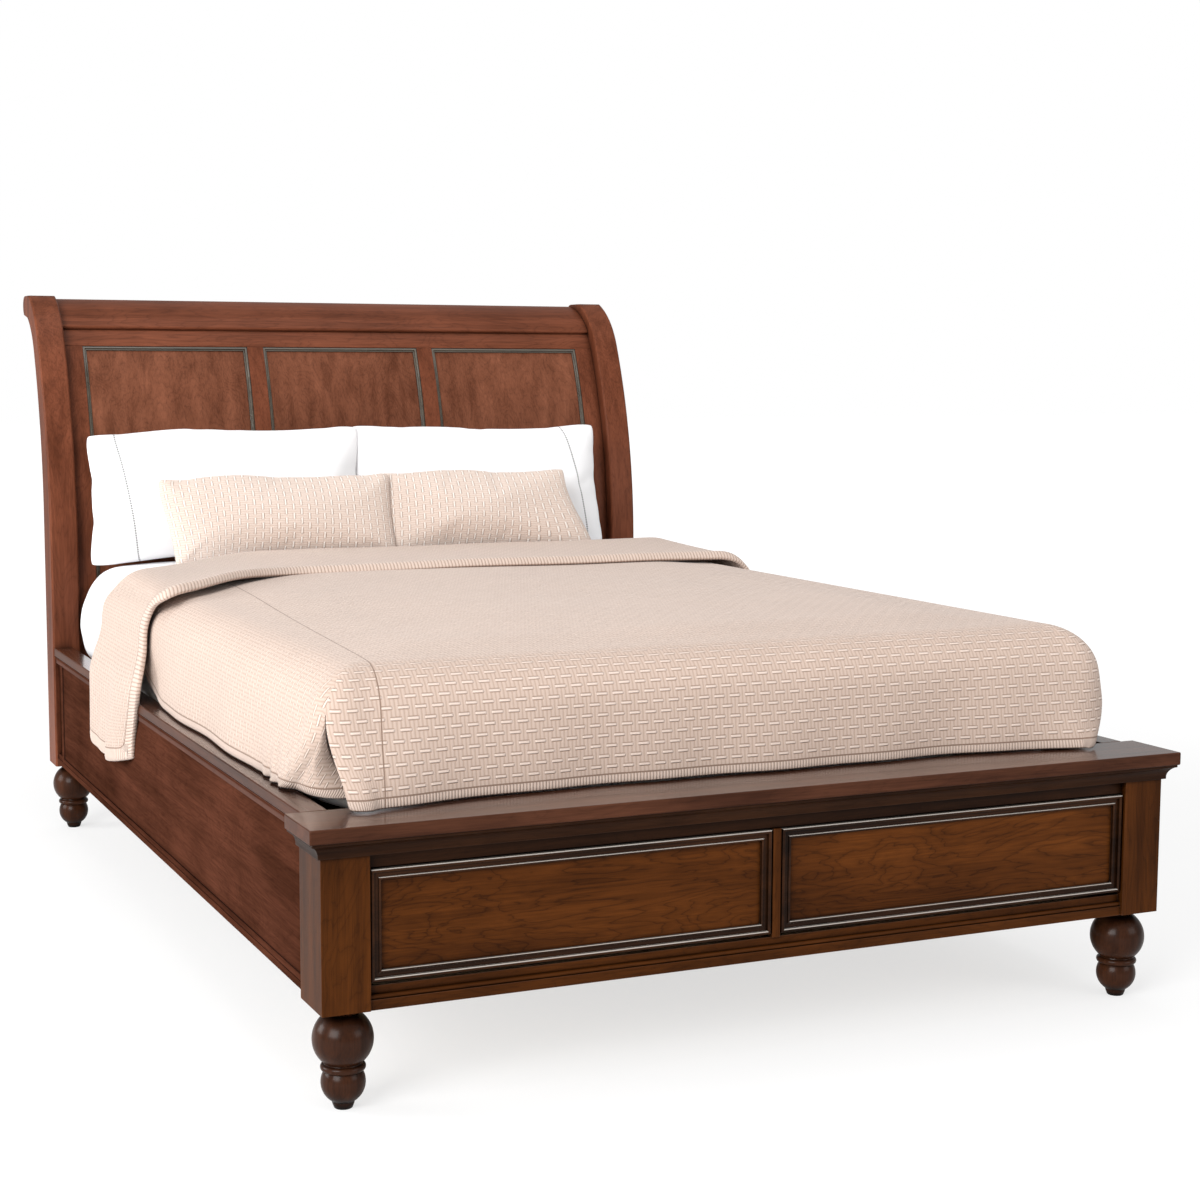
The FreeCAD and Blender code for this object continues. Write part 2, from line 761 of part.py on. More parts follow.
def side_rails():
    """Each rail with its ledge, its cove and bead mouldings, and the recess beside the headboard post."""
    length = "bed_run - foot_post_depth"
    rail = padded("XZ_Plane", [
        ("0", "0"), ("rail_thickness", "0"), ("rail_thickness", "ledge_bottom - rail_bottom"),
        ("0", "ledge_bottom - rail_bottom"), ("0", "rail_band_height"),
        ("-rail_band_out", "rail_band_height"), ("-rail_band_out", "0")], length)
    recess = body_sketch(rail, "YZ_Plane", [
        (length + " - end_recess_width", "rail_band_height + bead_width"), (length, "rail_band_height + bead_width"),
        (length, "ledge_bottom - rail_bottom - cove_height"),
        (length + " - end_recess_width", "ledge_bottom - rail_bottom - cove_height")])
    pocket = rail.newObject("PartDesign::Pocket", "EndRecess")
    pocket.Profile = recess
    pocket.setExpression("Length", bind("end_recess_depth"))
    pocket.Reversed = True
    node(move(rail, "-rail_outer", "foot_back", "rail_bottom"), "left_side_rail")
    node(mirrored(rail), "right_side_rail")
    ledge = padded("XZ_Plane", [
        ("0", "0"), ("ledge_width", "0"), ("ledge_width", "ledge_thickness"), ("0", "ledge_thickness")],
        length)
    rounded(ledge, "cap_round", lambda spot: spot.x < value("cap_round") and spot.z > value("cap_round"))
    node(move(ledge, "-ledge_outer", "foot_back", "ledge_bottom"), "left_rail_cap")
    node(mirrored(ledge), "right_rail_cap")
    trim = group([rail_bead(), rail_cove()])
    node(trim, "left_rail_moulding")
    node(mirrored(trim), "right_rail_moulding")


def rail_bead():
    """The rounded bead along the rail's base, mitred to the upright bead beside the headboard post."""
    level = "rail_bottom + rail_band_height"
    bend = "head_front - end_recess_width - bead_width"
    path = [("foot_back", level), (bend, level), (bend, "ledge_bottom - cove_height")]
    section = [("0", "0"), ("-bead_out / 2", "0", "bead_round", -1), ("-bead_out / 2", "bead_width"),
               ("0", "bead_width")]
    return moulding(path, False, "YZ", ("-rail_outer", "0", "0"),
                    section, "XZ", ("-rail_outer", "foot_back", level))


def rail_cove():
    """The hollow moulding under the ledge."""
    out = "rail_face_inset - ledge_side_inset"
    cove = padded("XZ_Plane", [
        ("0", "0"), ("0", "cove_height"), ("-(%s)" % out, "cove_height"),
        ("-(%s)" % out, "cove_height - cove_foot", "cove_round", -1), ("-cove_foot", "0")],
        "bed_run - foot_post_depth")
    return move(cove, "-rail_outer", "foot_back", "ledge_bottom - cove_height")


def rail_bracket(y, direction):
    """A steel angle that joins a rail's inner face to a post, its two arms along the rail and the post."""
    post_arm = "%s * bracket_thickness" % direction
    rail_arm = "%s * bracket_rail_arm" % direction
    angle = padded("XY_Plane", [
        ("0", "0"), ("0", rail_arm), ("bracket_thickness", rail_arm),
        ("bracket_thickness", post_arm), ("bracket_arm", post_arm), ("bracket_arm", "0")], "bracket_height")
    return move(angle, "-rail_inner", y, "bracket_low")


def bed_base():
    """Liners, cleats, brackets, slats, centre beam and legs."""
    liner = board(("-rail_inner", "liner_thickness - rail_inner"), ("foot_back", "head_front"),
                  ("slat_top + liner_gap", "ledge_bottom"))
    node(both_sides(liner), "rail_liners")
    cleat = board(("-rail_inner", "cleat_width - rail_inner"), ("case_back_rear", "head_front"),
                  ("slat_bottom - cleat_height", "slat_bottom"))
    node(both_sides(cleat), "slat_cleats")
    brackets = []
    for y, direction in (("foot_back", 1), ("head_front", -1)):
        angle = rail_bracket(y, direction)
        brackets += [angle, mirrored(angle)]
    node(group(brackets), "rail_brackets")
    half = "rail_inner - slat_end_gap"
    pitch = "(bed_run - slat_first - slat_last_gap - slat_width) / (slat_count - 1)"
    slats = []
    for k in range(int(value("slat_count"))):
        start = "foot_front + slat_first + %d * %s" % (k, pitch)
        slats.append(board(("-(%s)" % half, half), (start, start + " + slat_width"), ("slat_bottom", "slat_top")))
    node(group(slats), "slats")
    beam = board(("-beam_width / 2", "beam_width / 2"), ("case_back_rear", "beam_end"), ("beam_low", "beam_top"))
    node(beam, "centre_beam")
    legs = []
    for k in (1, 2):
        start = "case_back_rear + %d * leg_spacing - leg_width / 2" % k
        legs.append(board(("-leg_width / 2", "leg_width / 2"), (start, start + " + leg_width"), ("0", "beam_low")))
    node(group(legs), "centre_legs")


def drawer_case():
    """The upright panels that carry the drawers' slides, and the board across their backs."""
    height = ("base_top", "slat_bottom")
    outer = board(("-foot_post_inner - case_panel_thickness", "-foot_post_inner"), ("foot_back", "case_back"), height)
    centre = board(("-divider_width / 2", "divider_width / 2"), ("frame_back", "case_back"), height)
    node(group([outer, mirrored(outer), centre]), "drawer_case_panels")
    node(board(("-rail_inner", "rail_inner"), ("case_back", "case_back_rear"), height), "drawer_case_back")


def drawer_moulding(side):
    """The mitred frame on a drawer front: outer bead, hollow and inner bead."""
    low, high = "front_low", "front_high"
    left, right = "-drawer_half_front", "drawer_half_front"
    path = [("0", low), (right, low), (right, high), (left, high), (left, low)]
    shoulder = "outer_bead_width"
    inner = "moulding_width - inner_bead_width"
    section = [
        ("0", "0"), ("-moulding_out + outer_bead_round / 2", "0", "outer_bead_round", -1),
        ("-moulding_out + outer_bead_round / 2", shoulder), ("-cove_floor_out", shoulder),
        ("-cove_floor_out", inner), ("-inner_bead_out + inner_bead_round / 2", inner, "inner_bead_round", -1),
        ("-inner_bead_out + inner_bead_round / 2", "moulding_width"), ("0", "moulding_width")]
    centre = "%d * drawer_centre" % side
    return moulding(path, True, "XZ", (centre, "front_face", "0"),
                    section, "YZ", (centre, "front_face", low))


def slide_member(x, side, low_x, high_x, inset, opening, y):
    """One channel of a telescopic slide: its web against one side and two lips towards the opening."""
    web = ("%s", "%s + slide_wall") if opening > 0 else ("%s - slide_wall", "%s")
    face = low_x if opening > 0 else high_x
    web = tuple("%d * (%s)" % (side, part % ("(%s)" % face)) for part in web)
    lips = "%d * (%s)" % (side, low_x), "%d * (%s)" % (side, high_x)
    if side < 0:
        web, lips = web[::-1], lips[::-1]
    low, high = inset, "slide_height - (%s)" % inset
    if (opening > 0) == (side > 0):
        points = [(lips[0], low), (lips[1], low), (lips[1], low + " + slide_wall"), (web[1], low + " + slide_wall"),
                  (web[1], high + " - slide_wall"), (lips[1], high + " - slide_wall"), (lips[1], high),
                  (lips[0], high)]
    else:
        points = [(lips[0], low), (lips[1], low), (lips[1], high), (lips[0], high),
                  (lips[0], high + " - slide_wall"), (web[0], high + " - slide_wall"),
                  (web[0], low + " + slide_wall"), (lips[0], low + " + slide_wall")]
    channel = padded("XZ_Plane", points, "box_length - slide_start - slide_back_gap")
    return move(channel, x, y, "slide_low")


def slide_set(side):
    """Rails, carriers and runners on both sides of one drawer, each list in that order."""
    rails, carriers, runners = [], [], []
    start = "front_back + slide_start"
    for hand in (-1, 1):
        wall = "%d * drawer_centre + %d * drawer_half_bay" % (side, hand)
        nest = "slide_wall + slide_play"
        mouth = "slide_space - slide_wall - slide_web_play"
        rails.append(slide_member(wall, -hand, "0", mouth, "0", 1, start))
        carriers.append(slide_member(wall, -hand, "slide_wall + slide_web_play", mouth, nest, 1, start))
        runners.append(slide_member(wall, -hand, "2 * (slide_wall + slide_web_play)", "slide_space",
                                    "2 * (%s)" % nest, -1, start))
    return rails, carriers, runners


def drawer(name, side):
    """One drawer: front with its moulding and finger grip, sides, back, bottom and runners."""
    centre = "%d * drawer_centre" % side

    def across(half):
        return "%s - (%s)" % (centre, half), "%s + (%s)" % (centre, half)
    front = padded("YZ_Plane", [
        ("0", "0"), ("front_thickness - grip_depth", "0"), ("front_thickness - grip_depth", "grip_height"),
        ("front_thickness", "grip_height"), ("front_thickness", "front_high - front_low"),
        ("0", "front_high - front_low")], "2 * drawer_half_front")
    node(move(front, across("drawer_half_front")[0], "front_face", "front_low"), name + "_drawer_front")
    node(drawer_moulding(side), name + "_drawer_moulding")
    length, height = ("front_back", "box_back"), ("box_low", "box_high")
    outer, inner = across("drawer_half_box"), across("drawer_half_box - box_side_thickness")
    node(group([board((outer[0], inner[0]), length, height), board((inner[1], outer[1]), length, height)]),
         name + "_drawer_sides")
    node(board(inner, ("box_back - box_side_thickness", "box_back"), height), name + "_drawer_back")
    node(board(inner, ("front_back", "box_back - box_side_thickness"),
               ("bottom_low", "bottom_low + bottom_thickness")), name + "_drawer_bottom")
    rails, carriers, runners = slide_set(side)
    node(group(carriers), name + "_slide_carriers")
    node(group(runners), name + "_slide_runners")
    return rails


def drawers():
    rails = drawer("left", -1) + drawer("right", 1)
    node(group(rails), "slide_rails")


def mattress():
    """The mattress, with rounded edges all round."""
    half = "mattress_width / 2"
    body = padded("XY_Plane", [
        ("-" + half, "0"), (half, "0"), (half, "mattress_length"), ("-" + half, "mattress_length")],
        "mattress_height")
    rounded(body, "mattress_round", lambda spot: True)
    node(move(body, "0", "mattress_foot", "slat_top"), "mattress")


# Down the coverlet's drop: height, reach of the foot hem, swell of the sides and depth of the folds.
DROP_SHARES = (
    (0.0, 1.0, 0.0, 1.0),
    (0.38, 0.62, 0.25, 0.7),
    (0.72, 0.25, 0.2, 0.35),
    (0.9, -0.1, -0.3, 0.15),
    (1.0, -0.75, -2.4, 0.1),
)


def wave(start, end, depth, count):
    """Soft folds between two points: arcs that bulge out and in by turns."""
    along = (end - start) / (2 * count + 1)
    out = FreeCAD.Vector(along.y, -along.x, 0).normalize()
    edges = []
    for k in range(2 * count + 1):
        first, last = start + along * k, start + along * (k + 1)
        bulge = (first + last) * 0.5 + out * (depth if k % 2 == 0 else -depth)
        edges.append(Part.Arc(first, bulge, last).toShape())
    return edges


def cover_section(height, reach, swell, fold):
    """The coverlet's outer line at one height: two sides, two soft corners and a folded foot."""
    half = value("cover_half") + swell * value("cover_side")
    foot = value("mattress_foot - cover_foot") - reach * value("cover_hem_reach")
    head, corner = value("cover_head"), value("cover_corner_radius")
    low = value("ledge_height + soft_clearance")
    level = low + height * (value("cover_over") - low)
    spots = [FreeCAD.Vector(x, y, level) for x, y in (
        (-half, head), (-half, foot + corner), (corner - half, foot), (half - corner, foot),
        (half, foot + corner), (half, head))]
    turn = corner * (1 - math.sqrt(0.5))
    edges = [Part.makeLine(spots[0], spots[1])]
    edges.append(Part.Arc(spots[1], FreeCAD.Vector(turn - half, foot + turn, level), spots[2]).toShape())
    edges += wave(spots[2], spots[3], fold * value("cover_fold_depth"), int(value("cover_fold_count")))
    edges.append(Part.Arc(spots[3], FreeCAD.Vector(half - turn, foot + turn, level), spots[4]).toShape())
    edges += [Part.makeLine(spots[4], spots[5]), Part.makeLine(spots[5], spots[0])]
    return Part.Wire(edges)


def coverlet():
    """The coverlet: top, drops at both sides and at the foot, hollowed to lie on the mattress."""
    outer = Part.makeLoft([cover_section(*shares) for shares in DROP_SHARES], True, True)
    gap = value("soft_clearance")
    length = value("cover_length") + value("mattress_length")
    core = Part.makeBox(value("mattress_width") + 2 * gap, length, value("mattress_height") + 2 * gap,
                        FreeCAD.Vector(-value("mattress_width") / 2 - gap, value("mattress_foot") - gap,
                                       value("slat_top") - gap))
    core = core.makeFillet(value("mattress_round"), core.Edges)
    feature(outer.cut(core), "coverlet")


# The turned-down band, seen from above: across as shares of the half width and along as shares of its
# length, for its front edge from left to right. The left end runs out past the ledge to where it hangs.
BAND_SHARES = ((-1.0, -1.1), (-0.72, -0.15), (0.0, 0.0), (1.0, 0.0), (1.0, 1.0), (-0.72, 1.0), (-1.0, 0.12))
# Down the hanging end, from its top to its hem: height, start, end and depth of the folds.
DRAPE_SHARES = ((0.0, -1.1, 0.12, 0.1), (0.35, -0.98, 0.2, 0.6), (0.7, -0.82, 0.27, 1.0), (1.0, -0.7, 0.3, 0.8))


def drape_section(height, start, end, fold, top, origin):
    """The hanging end at one height: a long flat loop in soft folds."""
    length, depth = value("band_length"), fold * value("drape_fold_depth")
    inner = -value("half_frame + drape_clear")
    outer = inner - value("drape_thickness")
    level = top - height * value("drape_length")
    front, back = origin + start * length, origin + end * length
    spots = [FreeCAD.Vector(x, y, level) for x, y in (
        (inner, front), (outer, front), (outer, back), (inner, back))]
    count = int(value("drape_fold_count"))
    return Part.Wire([Part.makeLine(spots[0], spots[1])] + wave(spots[1], spots[2], -depth, count)
                     + [Part.makeLine(spots[2], spots[3])] + wave(spots[3], spots[0], depth, count))


def coverlet_fold():
    """The band turned down below the pillows, its left end hanging outside the rail."""
    length, thick = value("band_length"), value("band_thickness")
    level = value("cover_over + soft_clearance")
    origin = value("cover_head") - length
    left = value("half_frame + drape_clear + drape_thickness")
    right = value("cover_half + band_right_overhang")
    spots = []
    for across, along in BAND_SHARES:
        reach = left if across < 0 else right
        spots.append(FreeCAD.Vector(across * reach, origin + along * length, level))
    band = Part.Face(Part.makePolygon(spots + spots[:1])).extrude(FreeCAD.Vector(0, 0, thick))
    drape = Part.makeLoft([drape_section(*shares, level + thick / 2, origin) for shares in DRAPE_SHARES], True, True)
    feature(band.fuse(drape).removeSplitter(), "coverlet_fold")


# Along a pillow: place, height and thickness. Its seams draw in between the four corners.
PILLOW_SHARES = ((-1.0, 1.0, 0.12), (-0.86, 0.955, 0.53), (-0.5, 0.95, 0.88), (0.0, 0.97, 1.0),
                 (0.5, 0.95, 0.88), (0.86, 0.955, 0.53), (1.0, 1.0, 0.12))
# Up a pillow's crown: height and thickness.
CROWN_SHARES = ((-1.0, 0.15), (-0.86, 0.55), (-0.5, 0.9), (0.0, 1.0), (0.5, 0.9), (0.86, 0.55), (1.0, 0.15))


def pillow_section(place, tall, thick, width, height, thickness):
    """One upright section of a pillow, crowned in front and behind, with narrow seams above and below."""
    def spot(side, share):
        up, swell = share
        return FreeCAD.Vector(place * width / 2, side * swell * thick * thickness / 2, up * tall * height / 2)
    spots = [spot(-1, share) for share in CROWN_SHARES] + [spot(1, share) for share in CROWN_SHARES[::-1]]
    return Part.makePolygon(spots + spots[:1])


def pillow(kind, hand):
    """A pillow or sham leaning back towards the headboard, standing on the mattress."""
    sizes = [value(kind + "_" + what) for what in ("width", "height", "thickness")]
    shape = Part.makeLoft([pillow_section(*shares, *sizes) for shares in PILLOW_SHARES], True, False)
    lean = FreeCAD.Rotation(FreeCAD.Vector(1, 0, 0), -value(kind + "_lean_deg"))
    thing = shaped(shape)
    thing.Placement = FreeCAD.Placement(FreeCAD.Vector(), lean)
    rise = -thing.Shape.optimalBoundingBox().ZMin
    x = value(kind + "_shift") + hand * value(kind + "_spacing") / 2
    y = value("head_front") - value(kind + "_back_gap")
    z = value("mattress_top") + rise + value("soft_clearance")
    thing.Placement = FreeCAD.Placement(FreeCAD.Vector(x, y, z), lean)
    return thing


def bedding():
    mattress()
    coverlet()
    coverlet_fold()
    node(group([pillow("pillow", hand) for hand in (-1, 1)]), "pillows")
    node(group([pillow("sham", hand) for hand in (-1, 1)]), "shams")


def check():
    """Stops if any object failed, or if a sub-part has no valid solid."""
    for thing in doc.Objects:
        if "Invalid" in thing.State or "Error" in thing.State:
            raise RuntimeError("%s failed: %s" % (thing.Label, thing.State))
    for thing in nodes:
        if thing.Shape.isNull() or not thing.Shape.isValid() or not thing.Shape.Solids:
            raise RuntimeError("%s has no valid solid" % thing.Label)


def export():
    os.makedirs("parts", exist_ok=True)
    for thing in nodes:
        thing.Shape.exportStep(os.path.join("parts", thing.Label + ".step"))


fill_sheet()
headboard_posts()
headboard()
feet()
footboard()
side_rails()
bed_base()
drawer_case()
drawers()
bedding()
doc.recompute()
check()
export()
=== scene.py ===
import json
import math
from functools import partial

import bmesh
import bpy
import numpy as np
from mathutils import Matrix, Vector


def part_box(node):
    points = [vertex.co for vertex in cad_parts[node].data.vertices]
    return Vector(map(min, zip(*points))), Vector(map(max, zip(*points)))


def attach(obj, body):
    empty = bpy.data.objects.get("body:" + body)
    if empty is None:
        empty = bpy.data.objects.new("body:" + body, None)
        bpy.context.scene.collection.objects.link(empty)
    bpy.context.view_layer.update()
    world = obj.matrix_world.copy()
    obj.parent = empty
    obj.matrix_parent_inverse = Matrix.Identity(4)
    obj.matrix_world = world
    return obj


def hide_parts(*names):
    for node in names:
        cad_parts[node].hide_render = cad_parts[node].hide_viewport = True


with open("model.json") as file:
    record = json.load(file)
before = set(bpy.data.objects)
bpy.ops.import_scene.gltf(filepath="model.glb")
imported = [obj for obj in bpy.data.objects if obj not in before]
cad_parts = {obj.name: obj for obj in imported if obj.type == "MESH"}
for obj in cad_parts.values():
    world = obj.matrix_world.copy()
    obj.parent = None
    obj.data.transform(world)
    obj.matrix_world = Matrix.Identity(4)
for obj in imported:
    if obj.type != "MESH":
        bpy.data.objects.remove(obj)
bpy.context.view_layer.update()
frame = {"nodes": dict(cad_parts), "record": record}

# A queen storage bed with a sleigh headboard, dressed with a mattress, coverlet, pillows and shams.
# Metres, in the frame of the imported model: X across, Y from the foot to the head, Z up.

BODY = {node: body for body, nodes in frame["record"]["behaviour"]["bodies"].items() for node in nodes}
SLOT = {part["node"]: part["material_slot"] for part in frame["record"]["subparts"]}


def corners(node):
    """The lowest and highest corners of a CAD node."""
    low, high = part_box(node)
    return np.array(low), np.array(high)


MATTRESS_LOW, MATTRESS_HIGH = corners("mattress")
COVER_LOW, COVER_HIGH = corners("coverlet")
BAND_LOW, BAND_HIGH = corners("coverlet_fold")
FEET_LOW, FEET_HIGH = corners("turned_feet")


# Placing pieces in the scene


def link(piece, node):
    """Puts a piece in the scene in place of a CAD node, on that node's body, and hides the node."""
    bpy.context.scene.collection.objects.link(piece)
    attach(piece, BODY[node])
    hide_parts(node)
    return piece


def grid_mesh(name, points, uv=None, wrap=False):
    """A mesh over a grid of points: one four-sided face between neighbouring rows and columns."""
    rows, columns = points.shape[:2]
    index = np.arange(rows * columns).reshape(rows, columns)
    if wrap:
        index = np.concatenate([index, index[:, :1]], axis=1)
    faces = np.stack([index[:-1, :-1], index[:-1, 1:], index[1:, 1:], index[1:, :-1]], axis=-1).reshape(-1, 4)
    mesh = bpy.data.meshes.new(name)
    mesh.from_pydata(points.reshape(-1, 3).tolist(), [], faces.tolist())
    if uv is not None:
        layer = mesh.uv_layers.new(name="UVMap")
        corner = np.empty(len(mesh.loops), np.int32)
        mesh.loops.foreach_get("vertex_index", corner)
        layer.data.foreach_set("uv", uv.reshape(-1, 2)[corner].astype(np.float32).ravel())
    return mesh


def points_of(mesh):
    """A mesh's points, as an array with a row for each."""
    place = np.empty(len(mesh.vertices) * 3)
    mesh.vertices.foreach_get("co", place)
    return place.reshape(-1, 3)


def shade_smooth(mesh, degrees):
    """Smooth shading, kept sharp at edges that turn by more than so many degrees."""
    mesh.polygons.foreach_set("use_smooth", np.ones(len(mesh.polygons), bool))
    mesh.set_sharp_from_angle(angle=math.radians(degrees))


def mark_hem(mesh, hem, run):
    """Stores on each point how far it lies from the cloth's hem, and its place along that hem."""
    for name, values in (("hem", hem), ("run", run)):
        layer = mesh.attributes.new(name, "FLOAT", "POINT")
        layer.data.foreach_set("value", np.asarray(values, np.float32).ravel())


def tidy(mesh, distance=1e-5):
    """Merges doubled points, drops unused ones and turns the faces outwards."""
    shape = bmesh.new()
    shape.from_mesh(mesh)
    bmesh.ops.delete(shape, geom=[point for point in shape.verts if not point.link_faces], context="VERTS")
    bmesh.ops.remove_doubles(shape, verts=shape.verts, dist=distance)
    bmesh.ops.dissolve_degenerate(shape, dist=distance, edges=shape.edges)
    bmesh.ops.recalc_face_normals(shape, faces=shape.faces)
    shape.to_mesh(mesh)
    shape.free()


def subdivide(piece):
    """Adds one level of smooth subdivision."""
    smooth = piece.modifiers.new("Smooth", "SUBSURF")
    smooth.levels = smooth.render_levels = 1


def thicken(piece, thickness):
    """Gives a cloth its thickness, half to each side, and smooths it."""
    solid = piece.modifiers.new("Thickness", "SOLIDIFY")
    solid.thickness = thickness
    solid.offset = 0.0
    subdivide(piece)


def smooth_step(value, start, end):
    """0 before start, 1 after end, and 3t squared minus 2t cubed between them."""
    t = np.clip((value - start) / (end - start), 0, 1)
    return t * t * (3 - 2 * t)


# Shader trees


def add(tree, kind, inputs=None, **settings):
    """A shader node with its settings, and with each input set to a number or linked to a socket."""
    found = tree.nodes.new("ShaderNode" + kind)
    for key, setting in settings.items():
        setattr(found, key, setting)
    for key, given in (inputs or {}).items():
        if isinstance(given, bpy.types.NodeSocket):
            tree.links.new(given, found.inputs[key])
        else:
            found.inputs[key].default_value = given
    return found


def math_node(tree, operation, first, second=0.0, third=0.0):
    """One sum on numbers or sockets."""
    return add(tree, "Math", {0: first, 1: second, 2: third}, operation=operation).outputs[0]


def ribbed(tree, place, width):
    """Round ribs of a width: the absolute sine of pi times the place over the width."""
    wave = math_node(tree, "SINE", math_node(tree, "MULTIPLY", place, math.pi / width))
    return math_node(tree, "ABSOLUTE", wave)


def mix(tree, factor, first, second, blend="MIX"):
    """Two colours mixed by a factor."""
    node = add(tree, "Mix", {0: factor, 6: first, 7: second}, data_type="RGBA", blend_type=blend)
    return node.outputs[2]


def ramp(tree, factor, *stops):
    """A colour ramp: each stop is its place and its grey or colour."""
    node = add(tree, "ValToRGB", {0: factor})
    points = node.color_ramp.elements
    while len(points) < len(stops):
        points.new(0.5)
    for point, (place, colour) in zip(points, stops):
        point.position = place
        point.color = (*colour, 1) if hasattr(colour, "__len__") else (colour, colour, colour, 1)
    return node.outputs[0]


def fresh(name):
    """A new material with an empty tree and its principled shader."""
    material = bpy.data.materials.new(name)
    material.use_nodes = True
    tree = material.node_tree
    tree.nodes.clear()
    shader = add(tree, "BsdfPrincipled")
    out = add(tree, "OutputMaterial")
    tree.links.new(shader.outputs[0], out.inputs[0])
    return material, tree, shader


GRAIN_TURN = {"x": (0, 0, 0), "y": (0, 0, math.radians(-90)), "z": (0, math.radians(90), 0)}


def wood(name, grain, dark, light, figure=0.3, roughness=0.4, shine=0.1, coat=0.0, top_coat=0.0, painted_highlight=0.0,
         glaze_and_shade_reach=0.032):
    """Stained wood: growth rings as thin contours of a stretched noise, streaks, pores, dark glaze mixed with
    painted shade, lighter rubbed edges with a painted highlight, and a painted highlight on upper roundings.

    Figure is the strength of the rings, top_coat the extra polish of faces that look up, painted_highlight
    how light the upper rounding of a moulding is painted, and glaze_and_shade_reach how far from a corner the
    dark glaze and painted shade reach.
    """
    material, tree, shader = fresh(name)
    place = add(tree, "TexCoord").outputs["Object"]
    chance = add(tree, "ObjectInfo").outputs["Random"]
    shift = add(tree, "VectorMath", {0: (3.1, 5.3, 2.7), "Scale": chance}, operation="SCALE").outputs[0]
    moved = add(tree, "VectorMath", {0: place, 1: shift}).outputs[0]
    turned = add(tree, "Mapping", {"Vector": moved, "Rotation": GRAIN_TURN[grain]}).outputs[0]
    long = add(tree, "Mapping", {"Vector": turned, "Scale": (1.3, 5.0, 5.0)}).outputs[0]
    field = add(tree, "TexNoise", {"Vector": long, "Scale": 1.6, "Detail": 5.0, "Roughness": 0.46,
                                   "Distortion": 0.4}).outputs[0]
    rings = math_node(tree, "FRACT", math_node(tree, "MULTIPLY", field, 27.0))
    rings = ramp(tree, rings, (0.0, 0.28), (0.10, 0.72), (0.5, 1.0), (0.92, 0.82), (1.0, 0.28))
    streak = add(tree, "Mapping", {"Vector": turned, "Scale": (1.6, 34.0, 34.0)}).outputs[0]
    streaks = add(tree, "TexNoise", {"Vector": streak, "Scale": 1.0, "Detail": 4.0,
                                     "Roughness": 0.6}).outputs[0]
    fine = add(tree, "Mapping", {"Vector": turned, "Scale": (14.0, 420.0, 420.0)}).outputs[0]
    pores = add(tree, "TexNoise", {"Vector": fine, "Scale": 1.0, "Detail": 2.0}).outputs[0]
    blotch = add(tree, "TexNoise", {"Vector": moved, "Scale": 4.0, "Detail": 3.0}).outputs[0]
    ground = math_node(tree, "MULTIPLY_ADD", blotch, 0.45, math_node(tree, "MULTIPLY", streaks, 0.55))
    colour = mix(tree, ramp(tree, ground, (0.36, 0.0), (0.64, 1.0)), (*dark, 1), (*light, 1))
    colour = mix(tree, figure, colour, rings, "MULTIPLY")
    colour = mix(tree, 0.6, colour, ramp(tree, pores, (0.3, 0.6), (0.6, 1.0)), "MULTIPLY")
    # Dark glaze and painted shade in corners, joints and hollows, from ambient occlusion.
    hollow_shade = add(tree, "AmbientOcclusion", {"Distance": glaze_and_shade_reach}, samples=8).outputs["AO"]
    colour = mix(tree, 1.0, colour, ramp(tree, hollow_shade, (0.30, 0.06), (0.58, 0.66), (0.92, 1.0)), "MULTIPLY")
    # Convex arrises lightened: partly rubbed wear, partly a painted edge highlight.
    edge = add(tree, "AmbientOcclusion", {"Distance": 0.003}, samples=8, inside=True).outputs["AO"]
    rubbed_and_highlit = ramp(tree, edge, (0.35, 0.22), (0.75, 0.0))
    colour = mix(tree, rubbed_and_highlit, colour, (*[0.12 + 1.0 * c for c in light], 1))
    facing = add(tree, "SeparateXYZ", {0: add(tree, "NewGeometry").outputs["Normal"]}).outputs[2]
    # Painted highlight: upper roundings are lightened toward a pale grey, as if lit from above.
    if painted_highlight:
        painted_highlight_share = ramp(tree, facing, (0.28, 0.0), (0.50, painted_highlight), (0.80, painted_highlight), (0.93, 0.15 * painted_highlight))
        colour = mix(tree, painted_highlight_share, colour, (0.60, 0.55, 0.50, 1))
    tree.links.new(colour, shader.inputs["Base Color"])
    gloss = math_node(tree, "MULTIPLY_ADD", blotch, 0.12, roughness - 0.06)
    tree.links.new(gloss, shader.inputs["Roughness"])
    shader.inputs["Specular IOR Level"].default_value = shine
    shader.inputs["Coat Weight"].default_value = coat
    if top_coat:
        upward = math_node(tree, "GREATER_THAN", facing, 0.9)
        polish = math_node(tree, "MULTIPLY_ADD", upward, top_coat, coat)
        tree.links.new(polish, shader.inputs["Coat Weight"])
    shader.inputs["Coat Roughness"].default_value = 0.16
    bump = add(tree, "Bump", {"Height": pores, "Strength": 0.08, "Distance": 0.0006})
    tree.links.new(bump.outputs[0], shader.inputs["Normal"])
    return material


def steel(name):
    """Zinc-plated steel with a fine drawn grain."""
    material, tree, shader = fresh(name)
    place = add(tree, "TexCoord").outputs["Object"]
    drawn = add(tree, "Mapping", {"Vector": place, "Scale": (220.0, 6.0, 220.0)}).outputs[0]
    noise = add(tree, "TexNoise", {"Vector": drawn, "Scale": 1.0, "Detail": 3.0}).outputs[0]
    colour = ramp(tree, noise, (0.3, (0.50, 0.51, 0.52)), (0.7, (0.68, 0.69, 0.70)))
    tree.links.new(colour, shader.inputs["Base Color"])
    tree.links.new(math_node(tree, "MULTIPLY_ADD", noise, 0.2, 0.28), shader.inputs["Roughness"])
    shader.inputs["Metallic"].default_value = 1.0
    bump = add(tree, "Bump", {"Height": noise, "Strength": 0.1, "Distance": 0.0004})
    tree.links.new(bump.outputs[0], shader.inputs["Normal"])
    return material


